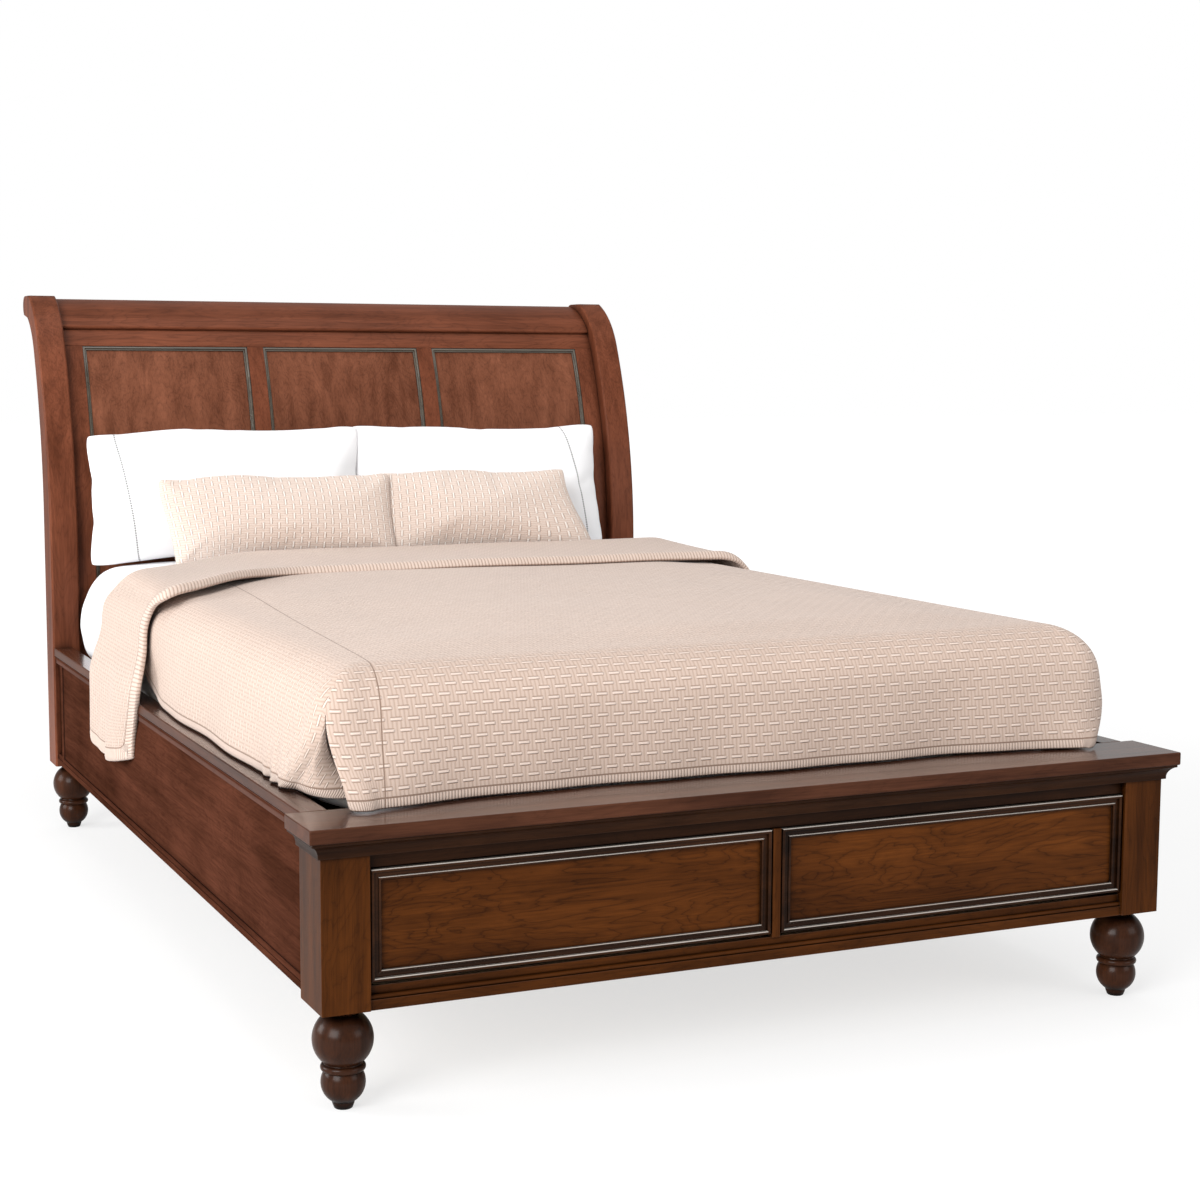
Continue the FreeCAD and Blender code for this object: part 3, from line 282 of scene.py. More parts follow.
# The weave's cell, across and along, the shams' cell, and how far a bar reaches from its middle, in cells.
WEAVE_CELL = (0.0150, 0.0177)
SHAM_CELL = (0.0117, 0.0195)
BAR_REACH = 0.72
# Where a bar's side and the groove beside it begin and end, as the cosine of the way from the bar's middle.
BAR_SIDE = (0.88, 0.98)
GROOVE_SIDE = (0.72, 0.86)
# Heights, as shares of a bar's: the ground between the ribs, the ribs over it and the ribs of a hem.
GROUND, RIB_RISE, HEM_RIB = 0.09, 0.15, 0.55
# Half the width of a hem's stitches and of the seam's, and the depth in metres of a bar and of a thread.
HEM_STITCH, SEAM_STITCH = 0.0014, 0.0012
BAR_DEPTH, THREAD_DEPTH = 0.0020, 0.0004


def basket_weave(name, colour, painted_shade, seam=None, cell=WEAVE_CELL, turned=False, hem_band=0.017, rib=0.0060):
    """Woven cotton: ribs along the cloth, bars laid over them in a chequer, ribbed hems and a sewn seam.

    A bar is 1 - (distance from its middle over its reach)^8 along, and a smooth step of the cosine across.
    Turned lays the bars along the cloth. The seam is its place and its slope on the cloth.
    """
    material, tree, shader = fresh(name)
    calc = partial(math_node, tree)
    flat = add(tree, "SeparateXYZ", {0: add(tree, "UVMap", uv_map="UVMap").outputs[0]})
    across, along = (flat.outputs[1], flat.outputs[0]) if turned else (flat.outputs[0], flat.outputs[1])
    cells = [calc("DIVIDE", axis, size) for axis, size in zip((across, along), cell)]
    chequer = calc("FLOORED_MODULO", calc("ADD", *[calc("FLOOR", place) for place in cells]), 2.0)
    off_x, off_y = (calc("ABSOLUTE", calc("SUBTRACT", calc("FRACT", place), 0.5)) for place in cells)
    from_bar = add(tree, "Mix", {0: chequer, 2: off_x, 3: calc("SUBTRACT", 1.0, off_x)}).outputs[0]
    bar_end = calc("POWER", calc("DIVIDE", from_bar, BAR_REACH), 8.0)
    in_bar = calc("MAXIMUM", calc("SUBTRACT", 1.0, bar_end), 0.0)
    bar_side = calc("COSINE", calc("MULTIPLY", off_y, math.pi))
    sides = [add(tree, "MapRange", {"Value": bar_side, "From Min": begin, "From Max": end},
                 interpolation_type="SMOOTHSTEP").outputs[0] for begin, end in (BAR_SIDE, GROOVE_SIDE)]
    lying, groove = (calc("MULTIPLY", side, in_bar) for side in sides)
    ribs = calc("MULTIPLY_ADD", ribbed(tree, cells[0], 0.5), RIB_RISE, GROUND)
    woven = calc("MAXIMUM", lying, calc("MULTIPLY", ribs, calc("SUBTRACT", 1.0, groove)))
    hem, run = (add(tree, "Attribute", attribute_name=kind).outputs["Fac"] for kind in ("hem", "run"))
    hem_ribs = calc("MULTIPLY", ribbed(tree, run, rib), HEM_RIB)
    height = add(tree, "Mix", {0: calc("LESS_THAN", hem, hem_band), 2: woven, 3: hem_ribs}).outputs[0]
    stitch = calc("COMPARE", hem, hem_band, HEM_STITCH)
    if seam is not None:
        seam_place, slope = seam
        beside = calc("MULTIPLY_ADD", along, -slope, across)
        stitch = calc("MAXIMUM", stitch, calc("COMPARE", beside, seam_place, SEAM_STITCH))
    height = calc("MULTIPLY", height, calc("SUBTRACT", 1.0, stitch))
    place = add(tree, "TexCoord").outputs["Object"]
    thread = add(tree, "TexNoise", {"Vector": place, "Scale": 900.0, "Detail": 2.0}).outputs[0]
    soft = add(tree, "TexNoise", {"Vector": place, "Scale": 7.0, "Detail": 3.0}).outputs[0]
    # Painted shade: the colour darkens toward painted_shade in the hollows and grooves, and is the cloth's
    # colour on the raised bars.
    tint = mix(tree, ramp(tree, height, (0.0, 0.0), (0.22, 0.56), (0.75, 1.0)), (*painted_shade, 1), (*colour, 1))
    tint = mix(tree, 0.25, tint, ramp(tree, soft, (0.3, 0.85), (0.7, 1.0)), "MULTIPLY")
    # Painted shade from ambient occlusion: dark brown under the turned-down band, inside the corner splits
    # and where cloth meets the bed.
    hollow_shade = add(tree, "AmbientOcclusion", {"Distance": 0.025}, samples=8).outputs["AO"]
    hollow_shade = ramp(tree, hollow_shade, (0.0, (0.08, 0.045, 0.03)), (0.30, (0.42, 0.33, 0.28)), (0.62, 1.0))
    tint = mix(tree, 0.85, tint, hollow_shade, "MULTIPLY")
    tint = mix(tree, calc("MULTIPLY", stitch, 0.42), tint, (*[0.35 * c for c in painted_shade], 1))
    tree.links.new(tint, shader.inputs["Base Color"])
    shader.inputs["Roughness"].default_value = 0.82
    shader.inputs["Sheen Weight"].default_value = 0.18
    shader.inputs["Specular IOR Level"].default_value = 0.3
    coarse = add(tree, "Bump", {"Height": height, "Strength": 1.0, "Distance": BAR_DEPTH}).outputs[0]
    threads = add(tree, "Bump", {"Height": thread, "Strength": 0.2, "Distance": THREAD_DEPTH,
                                 "Normal": coarse}).outputs[0]
    tree.links.new(threads, shader.inputs["Normal"])
    return material


# The stitches across a pillow's end: their slant, half their line's width, and one stitch with its gap.
LINE_SLANT, LINE_HALF, STITCH_STEP = 0.16, 0.0022, 0.006


def cotton(name, colour, line_at=None):
    """Smooth white cotton with soft creases; a pillow has a line of dark stitches near its open end."""
    material, tree, shader = fresh(name)
    place = add(tree, "TexCoord").outputs["Object"]
    thread = add(tree, "TexNoise", {"Vector": place, "Scale": 1300.0, "Detail": 1.0}).outputs[0]
    crease = add(tree, "TexNoise", {"Vector": place, "Scale": 9.0, "Detail": 4.0,
                                    "Distortion": 1.2}).outputs[0]
    # Painted shade in the creases: the colour darkens where the crease relief is low.
    tint = mix(tree, 0.2, (*colour, 1), ramp(tree, crease, (0.3, 0.86), (0.7, 1.0)), "MULTIPLY")
    if line_at is not None:
        flat = add(tree, "SeparateXYZ", {0: add(tree, "UVMap", uv_map="UVMap").outputs[0]})
        slant = math_node(tree, "MULTIPLY_ADD", flat.outputs[1], LINE_SLANT, flat.outputs[0])
        line = math_node(tree, "COMPARE", slant, line_at, LINE_HALF)
        turns = math_node(tree, "MULTIPLY", flat.outputs[1], 2 * math.pi / STITCH_STEP)
        dashes = math_node(tree, "SINE", turns)
        line = math_node(tree, "MULTIPLY", line, math_node(tree, "GREATER_THAN", dashes, -0.3))
        tint = mix(tree, line, tint, (0.12, 0.11, 0.11, 1))
    tree.links.new(tint, shader.inputs["Base Color"])
    shader.inputs["Roughness"].default_value = 0.75
    shader.inputs["Sheen Weight"].default_value = 0.08
    shader.inputs["Specular IOR Level"].default_value = 0.25
    creased = add(tree, "Bump", {"Height": crease, "Strength": 0.25, "Distance": 0.006}).outputs[0]
    bump = add(tree, "Bump", {"Height": thread, "Strength": 0.15, "Distance": 0.0003, "Normal": creased})
    tree.links.new(bump.outputs[0], shader.inputs["Normal"])
    return material


# Wooden pieces: the CAD nodes with eased edges

# Each visible wooden node: the way its grain runs, its stain and the width of its eased edges.
BOARDS = {
    "left_headboard_post": ("z", "red", 0.003), "right_headboard_post": ("z", "red", 0.003),
    "crest_rail": ("x", "red", 0.002), "headboard_top_rail": ("x", "red", 0.0012),
    "headboard_bottom_rail": ("x", "red", 0.0012), "headboard_stiles": ("z", "red", 0.0012),
    "headboard_mullions": ("z", "red", 0.0012), "left_headboard_panel": ("z", "panel", 0),
    "centre_headboard_panel": ("z", "panel", 0), "right_headboard_panel": ("z", "panel", 0),
    "headboard_panel_beads": ("x", "glazed", 0.0011), "left_footboard_post": ("z", "brown", 0.0025),
    "right_footboard_post": ("z", "brown", 0.0025), "footboard_cap": ("x", "cap", 0.002),
    "crown_moulding": ("x", "shaded", 0.0008), "footboard_frieze": ("x", "shaded", 0.001),
    "drawer_divider": ("z", "brown", 0.0015), "footboard_base_rail": ("x", "brown", 0.0012),
    "left_side_rail": ("y", "rail", 0.0015), "right_side_rail": ("y", "rail", 0.0015),
    "left_rail_cap": ("y", "cap", 0.002), "right_rail_cap": ("y", "cap", 0.002),
    "left_rail_moulding": ("y", "rail", 0.0008), "right_rail_moulding": ("y", "rail", 0.0008),
    "left_drawer_front": ("x", "figured", 0.0015), "right_drawer_front": ("x", "figured", 0.0015),
    "left_drawer_moulding": ("x", "moulding", 0.0007), "right_drawer_moulding": ("x", "moulding", 0.0007),
}
# Each stain: dark and light colours, ring figure, roughness, shine, coat, extra coat on top and the painted
# highlight on upper roundings.
STAINS = {
    "red": ((0.100, 0.028, 0.012), (0.205, 0.062, 0.030), 0.34, 0.42, 0.07, 0.02, 0.0, 0.0),
    "panel": ((0.108, 0.034, 0.016), (0.235, 0.083, 0.044), 0.36, 0.42, 0.07, 0.0, 0.0, 0.0),
    "rail": ((0.040, 0.0135, 0.0072), (0.090, 0.0310, 0.0175), 0.28, 0.48, 0.0, 0.0, 0.0, 0.0),
    "brown": ((0.034, 0.0095, 0.0015), (0.090, 0.026, 0.0042), 0.38, 0.42, 0.05, 0.0, 0.0, 0.0),
    # shaded: the frieze and crown darkened for painted shade under the cap, together with their dark glaze.
    "shaded": ((0.013, 0.0045, 0.0018), (0.040, 0.015, 0.0060), 0.25, 0.42, 0.05, 0.0, 0.0, 0.0),
    "figured": ((0.042, 0.0115, 0.0018), (0.122, 0.035, 0.0056), 0.66, 0.40, 0.05, 0.0, 0.0, 0.0),
    "cap": ((0.040, 0.014, 0.0075), (0.098, 0.036, 0.019), 0.25, 0.34, 0.05, 0.0, 0.9, 0.0),
    "moulding": ((0.012, 0.0042, 0.0014), (0.048, 0.0160, 0.0045), 0.20, 0.30, 0.08, 0.02, 0.5, 0.75),
    "glazed": ((0.040, 0.032, 0.022), (0.090, 0.072, 0.048), 0.0, 0.28, 0.30, 0.25, 0.0, 0.2),
    "foot": ((0.020, 0.0068, 0.0030), (0.062, 0.021, 0.0090), 0.25, 0.30, 0.08, 0.07, 0.0, 0.0),
}
PALE_DARK, PALE_LIGHT = (0.42, 0.29, 0.16), (0.62, 0.47, 0.30)


def eased(node, width):
    """A copy of a CAD node whose facets are joined into flat faces and whose edges are eased."""
    mesh = frame["nodes"][node].data.copy()
    mesh.name = node + "_eased"
    shape = bmesh.new()
    shape.from_mesh(mesh)
    bmesh.ops.remove_doubles(shape, verts=shape.verts, dist=1e-5)
    bmesh.ops.dissolve_limit(shape, angle_limit=math.radians(0.4), verts=shape.verts, edges=shape.edges)
    shape.to_mesh(mesh)
    shape.free()
    piece = bpy.data.objects.new(mesh.name, mesh)
    shade_smooth(mesh, 30)
    if width:
        ease = piece.modifiers.new("Eased", "BEVEL")
        ease.width = width
        ease.segments = 2
        ease.limit_method = "ANGLE"
        ease.angle_limit = math.radians(30)
        ease.harden_normals = True
    return link(piece, node)


def boards():
    """Every visible wooden node, each with the finish of its stain and grain."""
    finishes = {}
    for node, (grain, stain, width) in BOARDS.items():
        key = "cherry_%s_%s" % (stain, grain)
        if key not in finishes:
            finishes[key] = wood(key, grain, *STAINS[stain])
        piece = eased(node, width)
        piece.data.materials.clear()
        piece.data.materials.append(finishes[key])


def plain_nodes():
    """The hidden wood and steel keep their CAD shapes, in better finishes."""
    finishes = {
        "pale_wood": wood("pale_wood", "y", PALE_DARK, PALE_LIGHT, 0.4, 0.6, 0.2, 0.0),
        "plated_steel": steel("plated_steel"),
    }
    for node, slot in SLOT.items():
        if slot in finishes:
            mesh = frame["nodes"][node].data
            mesh.materials.clear()
            mesh.materials.append(finishes[slot])


# Turned feet


def arc(centre, radius, start, end, count):
    """Points (radius, height) on an arc of a circle about a centre, between two angles in degrees."""
    turn = np.radians(np.linspace(start, end, count))
    return np.stack([centre[0] + radius * np.cos(turn), centre[1] + radius * np.sin(turn)], axis=-1)


def turned_feet():
    """Four feet, each its outline turned about an upright axis: toe, ball, ring, ball and collar."""
    tall = FEET_HIGH[2]
    outline = np.concatenate([
        [(0.0, 0.0), (0.0140, 0.0), (0.0152, 0.0010), (0.0178, 0.0075), (0.0188, 0.0118)],
        arc((0.0, 0.0435), 0.0365, -56, 36, 22),
        arc((0.0308, 0.0687), 0.0062, -80, 80, 12),
        arc((0.0, 0.1150), 0.0500, -51, 58, 28),
        arc((0.0300, tall - 0.0030), 0.0030, -70, 60, 6),
        [(0.0290, tall), (0.0, tall)],
    ])
    turn = np.radians(np.arange(0, 360, 6))
    ring = np.stack([outline[:, :1] * np.cos(turn), outline[:, :1] * np.sin(turn),
                     np.repeat(outline[:, 1:], len(turn), axis=1)], axis=-1)
    inset = 0.0500
    spots = [(x, y) for y in (FEET_LOW[1] + inset, FEET_HIGH[1] - inset)
             for x in (FEET_LOW[0] + inset, FEET_HIGH[0] - inset)]
    meshes = [grid_mesh("turned_feet_smooth", ring + np.array([x, y, 0.0]), wrap=True) for x, y in spots]
    shape = bmesh.new()
    for mesh in meshes:
        shape.from_mesh(mesh)
    shape.to_mesh(meshes[0])
    shape.free()
    tidy(meshes[0])
    shade_smooth(meshes[0], 35)
    piece = link(bpy.data.objects.new("turned_feet_smooth", meshes[0]), "turned_feet")
    piece.data.materials.append(wood("cherry_foot", "z", *STAINS["foot"]))


# Bedding


def rounded_box(name, low, high, round_top, crown, spacing=0.03):
    """A mattress shape: its side profile carried round a rounded rectangle, then drawn in to the middle.

    The rectangle is |x|^n + |y|^n = 1 scaled to the half sides, with n 30 towards the head and 11 towards
    the foot. A row of the profile is how far it stands out from the box's side, and its height.
    """
    half = (high - low) / 2
    middle = (high + low) / 2
    count = 4 * int((half[0] + half[1]) / spacing)
    turn = np.linspace(0, 2 * math.pi, count, endpoint=False)
    power = np.where(np.sin(turn) > 0, 2 / 30, 2 / 11)
    ring = np.stack([np.sign(np.cos(turn)) * np.abs(np.cos(turn)) ** power,
                     np.sign(np.sin(turn)) * np.abs(np.sin(turn)) ** power], axis=-1)
    inner = np.linspace(round_top, half[0], 12)[1:]
    straight = np.linspace(-0.5, 0.5, 7) * (half[2] - round_top)
    rows = np.concatenate([
        np.stack([-inner[::-1], np.full_like(inner, -half[2])], axis=-1),
        arc((-round_top, round_top - half[2]), round_top, -90, 0, 7),
        np.stack([np.full_like(straight, 0.004), straight], axis=-1),
        arc((-round_top, half[2] - round_top), round_top, 0, 90, 7),
        np.stack([-inner, half[2] + crown * smooth_step(inner, 0, half[0])], axis=-1),
    ])
    reach = np.maximum(half[:2] + rows[:, :1], 0.0)
    points = np.concatenate([ring * reach[:, None], np.repeat(rows[:, None, 1:], count, axis=1)], axis=-1)
    return grid_mesh(name, points + middle, wrap=True)


def mattress():
    """The mattress in its white fitted sheet, its head corners drooping and drawn in.

    The slack of its sides is the product of two crossed sine waves.
    """
    mesh = rounded_box("mattress_dressed", MATTRESS_LOW, MATTRESS_HIGH + np.array([0, 0.05, 0]), 0.072, 0.002)
    tidy(mesh)
    place = points_of(mesh)
    top = MATTRESS_HIGH[2]
    slack = np.sin(place[:, 1] * 31 + 6 * place[:, 2]) * np.sin(place[:, 2] * 22 + place[:, 1] * 5)
    place[:, 0] -= np.sign(place[:, 0]) * 0.0025 * (1 + slack) * (np.abs(place[:, 0]) > 0.74)
    head = smooth_step(place[:, 1], MATTRESS_HIGH[1] - 0.26, MATTRESS_HIGH[1] + 0.04)
    corner = head * smooth_step(np.abs(place[:, 0]), 0.45, 0.75)
    place[:, 2] -= 0.012 * corner * smooth_step(place[:, 2], MATTRESS_LOW[2], top)
    place[:, 0] -= 0.028 * corner * np.sign(place[:, 0]) * smooth_step(place[:, 2], 0.52, top)
    mesh.vertices.foreach_set("co", place.ravel())
    shade_smooth(mesh, 60)
    piece = link(bpy.data.objects.new("mattress_dressed", mesh), "mattress")
    subdivide(piece)
    piece.data.materials.append(cotton("fitted_sheet", (0.86, 0.86, 0.88)))


def bend(distance, radius, turn):
    """How far cloth reaches out and falls past an edge: round an arc by the turn, then straight on."""
    on_arc = np.clip(distance, 0, radius * turn)
    beyond = np.clip(distance - radius * turn, 0, None)
    reach = radius * np.sin(on_arc / radius) + beyond * math.cos(turn)
    fall = radius * (1 - np.cos(on_arc / radius)) + beyond * math.sin(turn)
    return reach, fall


COVER_THICK = 0.005
# How the cloth turns down over the mattress: on an arc, then nearly straight, and how far out its hem comes.
EDGE_RADIUS = 0.090
DROP_TURN = math.radians(84)
HEM_REACH = 0.103
COVER_TOP = COVER_HIGH[2] + 0.004
COVER_HEM = COVER_LOW[2] + 0.002
# The flat part: half its width, where its foot edge lies along the bed, and its length to the head end.
FLAT_HALF = 0.790 - HEM_REACH
FLAT_FOOT = COVER_LOW[1] + 0.018 + HEM_REACH
COVER_BACK = COVER_HIGH[1] - FLAT_FOOT
# Points along a side, across the foot, round a corner and down a drop.
SIDE_POINTS, FOOT_POINTS, CORNER_POINTS, DROP_POINTS = 76, 62, 8, 15
# How far down the left and right foot corners are still joined, how far a side is pulled back below that,
# how much a corner stands out, and the path of the tucked edge behind it.
SPLITS = {-1: 0.120, 1: 0.200}
PULL_BACK = 0.190
CORNER_BULGE = 0.30
TUCK_TURN = (0.776, -0.085)
TUCK_END = (0.680, -0.062)
# How far the left part of the head end is pulled to the foot.
HEAD_PULL = 0.36
# The sewn seam along the coverlet: its place across and its slope.
SEAM = (-0.668, 0.078)
# The cloths' colours, and the darker painted shade of their hollows.
COVER_COLOUR = (0.709, 0.576, 0.499)
COVER_PAINTED_SHADE = (0.349, 0.233, 0.173)
SHAM_COLOUR = (0.830, 0.757, 0.697)
SHAM_PAINTED_SHADE = (0.520, 0.365, 0.285)


def undulation(x, y, scale=1.0):
    """The quiet unevenness of a made bed: a few crossed sine waves, a couple of millimetres high."""
    waves = (np.sin(5.1 * x + 2.3 * y + 0.6) + np.sin(3.3 * x - 4.7 * y + 1.9)
             + 0.6 * np.sin(9.7 * x + 7.1 * y) + 0.5 * np.sin(14.3 * x - 6.1 * y + 2.2))
    return scale * 0.0014 * waves


def cover_height(x, t):
    """The made bed's top: highest in the middle, and sinking a little towards the edges."""
    inside = np.minimum(FLAT_HALF - np.abs(x), t)
    sag = 0.010 * (1 - smooth_step(inside, -0.02, 0.17))
    crown = 0.004 * smooth_step(inside, 0.1, 0.55)
    return COVER_TOP + crown - sag + undulation(x, t) * smooth_step(inside, -0.02, 0.12)


def head_swing(x):
    """How far a place across the bed lies into the left part, where the head end is pulled to the foot."""
    return smooth_step(-x, 0.36, 0.80)


def head_pull(x, t):
    """How far the coverlet's head end is pulled to the foot, least at the middle of the bed's length."""
    return HEAD_PULL * head_swing(x) * smooth_step(t, COVER_BACK - 0.85, COVER_BACK)


def drop_panel(start, out_start, hand, foot):
    """One hanging side of the coverlet, rows going down and columns along the edge.

    A column starts at a place on the flat part's edge and turns down in the direction out. At a corner the
    place stands still while out turns through 45 degrees, so two sides meet there. The cloth falls round an
    arc and then almost straight, and low grows with the fall, for the callers to part the two sides below the
    split and to wrinkle them.
    """
    full_fall = COVER_TOP - 0.012 - COVER_HEM
    arc_fall = EDGE_RADIUS * (1 - math.cos(DROP_TURN))
    length = EDGE_RADIUS * DROP_TURN + (full_fall - arc_fall) / math.sin(DROP_TURN)
    down = np.linspace(0, length, DROP_POINTS)[:, None]
    base_x, base_t = start[:, 0][None], start[:, 1][None]
    out = out_start[None]
    reach, fall = bend(down, EDGE_RADIUS, DROP_TURN)
    reach = reach * (1 + CORNER_BULGE * np.sin(2 * out) ** 2)
    x = base_x + hand * reach * np.cos(out) if not foot else base_x - reach * np.cos(out)
    t = base_t - reach * np.sin(out)
    low = smooth_step(down, 0.06, length)
    height = cover_height(base_x, base_t)
    z = height - fall * (height - COVER_HEM) / full_fall
    return np.broadcast_arrays(x, t, z, down, reach, low)


def side_drop(hand):
    """A side of the coverlet, left at hand -1 and right at 1, bunched and parted from the foot at its corner.

    Below the split its front edge is pulled back and tucked in, along a quadratic curve in s from the edge
    over TUCK_TURN to TUCK_END. Its hem ripples near the corner, a sine times exp(-distance^2). At the right
    it bulges and then draws in beside the corner. At the left its head end follows the turned-down part.
    """
    turn = np.linspace(math.pi / 4, 0, CORNER_POINTS + 1)[:-1]
    along = np.concatenate([np.zeros(CORNER_POINTS), np.linspace(0, COVER_BACK, SIDE_POINTS)])
    out = np.concatenate([turn, np.zeros(SIDE_POINTS)])
    start = np.stack([np.full(len(along), hand * FLAT_HALF), along], axis=-1)
    x, t, z, down, reach, low = drop_panel(start, out, hand, False)
    u = hand * (FLAT_HALF + down)
    v = along[None] - reach * out[None]
    parted = smooth_step(down, SPLITS[hand], down.max() + 0.10) * 1.3
    open_share = np.clip(parted, 0, 1)
    pull = PULL_BACK * parted * (1 - smooth_step(t, -0.11, 0.34))
    joined = smooth_step(math.pi / 4 - out[None], 0, math.pi / 4)
    free = np.maximum(joined, open_share) * low
    bunch = np.exp(-((t - 0.02) / 0.13) ** 2) * free
    t = t + pull
    slip = head_pull(x, np.clip(t, 0, None))
    t = t - slip
    v = v - slip
    ripple = 0.009 * bunch * np.sin(2 * math.pi * (t - 0.02) / 0.056)
    x = x + hand * (ripple - 0.012 * open_share * (1 - joined))
    x = x + hand * 0.0035 * free * np.sin(2 * math.pi * t / 0.37 + 0.6)
    if hand > 0:
        near = np.exp(-(np.clip(t, 0, None) / 0.16) ** 2) * free
        bulge = 0.020 * np.exp(-((down - 0.18) / 0.05) ** 2)
        x = x + near * (bulge - 0.030 * smooth_step(down, 0.20, down.max()))
    else:
        late = smooth_step(along[None], 1.0, COVER_BACK)
        t = t - 0.05 * late * low
        x = x + 0.009 * smooth_step(along[None], 0.95, 1.2) * low
        z = z + 0.06 * late ** 0.7 * low
    s = np.linspace(1, 0, CORNER_POINTS)[:-1][None]
    share = open_share[:, :1]
    edge_x, edge_t, edge_z = x[:, :1], t[:, :1], z[:, :1]
    inner_x = 2 * s * (1 - s) * (hand * TUCK_TURN[0] - edge_x) + s ** 2 * (hand * TUCK_END[0] - edge_x)
    inner_t = 2 * s * (1 - s) * (TUCK_TURN[1] - edge_t) + s ** 2 * (TUCK_END[1] - edge_t)
    inner = np.stack([edge_x + share * inner_x, edge_t + share * inner_t, edge_z + 0 * s], axis=-1)
    tuck = 0.2 * s * share
    inner_uv = np.stack([u[:, :1] + 0 * tuck, v[:, :1] - tuck], axis=-1)
    above_hem = down.max() - down
    points = np.concatenate([inner, np.stack([x, t, z], axis=-1)], axis=1)
    uv = np.concatenate([inner_uv, np.stack([u, v], axis=-1)], axis=1)
    hem = np.concatenate([above_hem[:, :1] + 0 * tuck, above_hem], axis=1)
    return points, uv, hem


def foot_drop():
    """The coverlet's foot: wavy, flared a little at both lower corners and drawn in below the splits."""
    turn = np.linspace(math.pi / 4, math.pi / 2, CORNER_POINTS + 1)[:-1]
    corner = np.full(CORNER_POINTS, FLAT_HALF)
    base = np.concatenate([-corner, np.linspace(-FLAT_HALF, FLAT_HALF, FOOT_POINTS), corner])
    out = np.concatenate([turn, np.full(FOOT_POINTS, math.pi / 2), math.pi - turn[::-1]])
    start = np.stack([base, np.zeros(len(base))], axis=-1)
    x, t, z, down, reach, low = drop_panel(start, out, 0, True)
    u = base[None] - reach * (math.pi / 2 - out[None])
    v = -down
    off = np.abs(out - math.pi / 2)
    split = np.where(base < 0, SPLITS[-1], SPLITS[1])[None]
    parted = smooth_step(down, split, down.max() + 0.02)
    joined = smooth_step(math.pi / 4 - off, 0, math.pi / 4)[None]
    free = np.maximum(joined, parted) * low
    flare = smooth_step(np.abs(base), 0.40, FLAT_HALF)[None] * free
    waves = 0.004 * np.sin(2 * math.pi * base / 0.62 + 0.5) + 0.003 * np.sin(2 * math.pi * base / 0.23)
    tip = smooth_step(np.abs(base) + 0.1 * off, FLAT_HALF - 0.13, FLAT_HALF + 0.07)[None] * parted
    t = t - 0.020 * flare - 0.026 * tip - waves[None] * free
    inward = np.where(base < 0, 0.035, 0.068)[None]
    x = x - np.sign(base)[None] * inward * parted * smooth_step(off, 0, 0.7)[None]
    return np.stack([x, t, z], axis=-1), np.stack([u, v], axis=-1), down.max() - down


def coverlet():
    """The coverlet: a flat part on the mattress and three hanging sides, split at the foot corners."""
    across = np.linspace(-FLAT_HALF, FLAT_HALF, FOOT_POINTS)
    x, t = np.meshgrid(across, np.linspace(0, COVER_BACK, SIDE_POINTS), indexing="ij")
    height = cover_height(x, t)
    t = t - head_pull(x, t)
    flat = np.stack([x, t, height], axis=-1)
    parts = [(flat, np.stack([x, t], axis=-1), np.ones_like(x)), side_drop(-1), foot_drop(), side_drop(1)]
    shape = bmesh.new()
    hems, runs = [], []
    for k, (points, uv, hem) in enumerate(parts):
        shape.from_mesh(grid_mesh("coverlet_part", points + np.array([0, FLAT_FOOT, 0]), uv))
        hems.append(hem.ravel())
        runs.append(uv[..., 0 if k == 2 else 1].ravel())
    mesh = bpy.data.meshes.new("coverlet_woven")
    shape.to_mesh(mesh)
    shape.free()
    mark_hem(mesh, np.concatenate(hems), np.concatenate(runs))
    tidy(mesh, 1e-4)
    shade_smooth(mesh, 180)
    piece = link(bpy.data.objects.new("coverlet_woven", mesh), "coverlet")
    thicken(piece, COVER_THICK)
    piece.data.materials.append(basket_weave("coverlet_weave", COVER_COLOUR, COVER_PAINTED_SHADE, SEAM))


# The turned-down band: depth and thickness, the arcs of its left and right ends, and its back's curl.
BAND_DEPTH, BAND_THICK = 0.405, 0.011
LEFT_RADIUS, RIGHT_RADIUS = 0.108, 0.085
CURL_SHARE, CURL_RADIUS = 0.024, 0.009


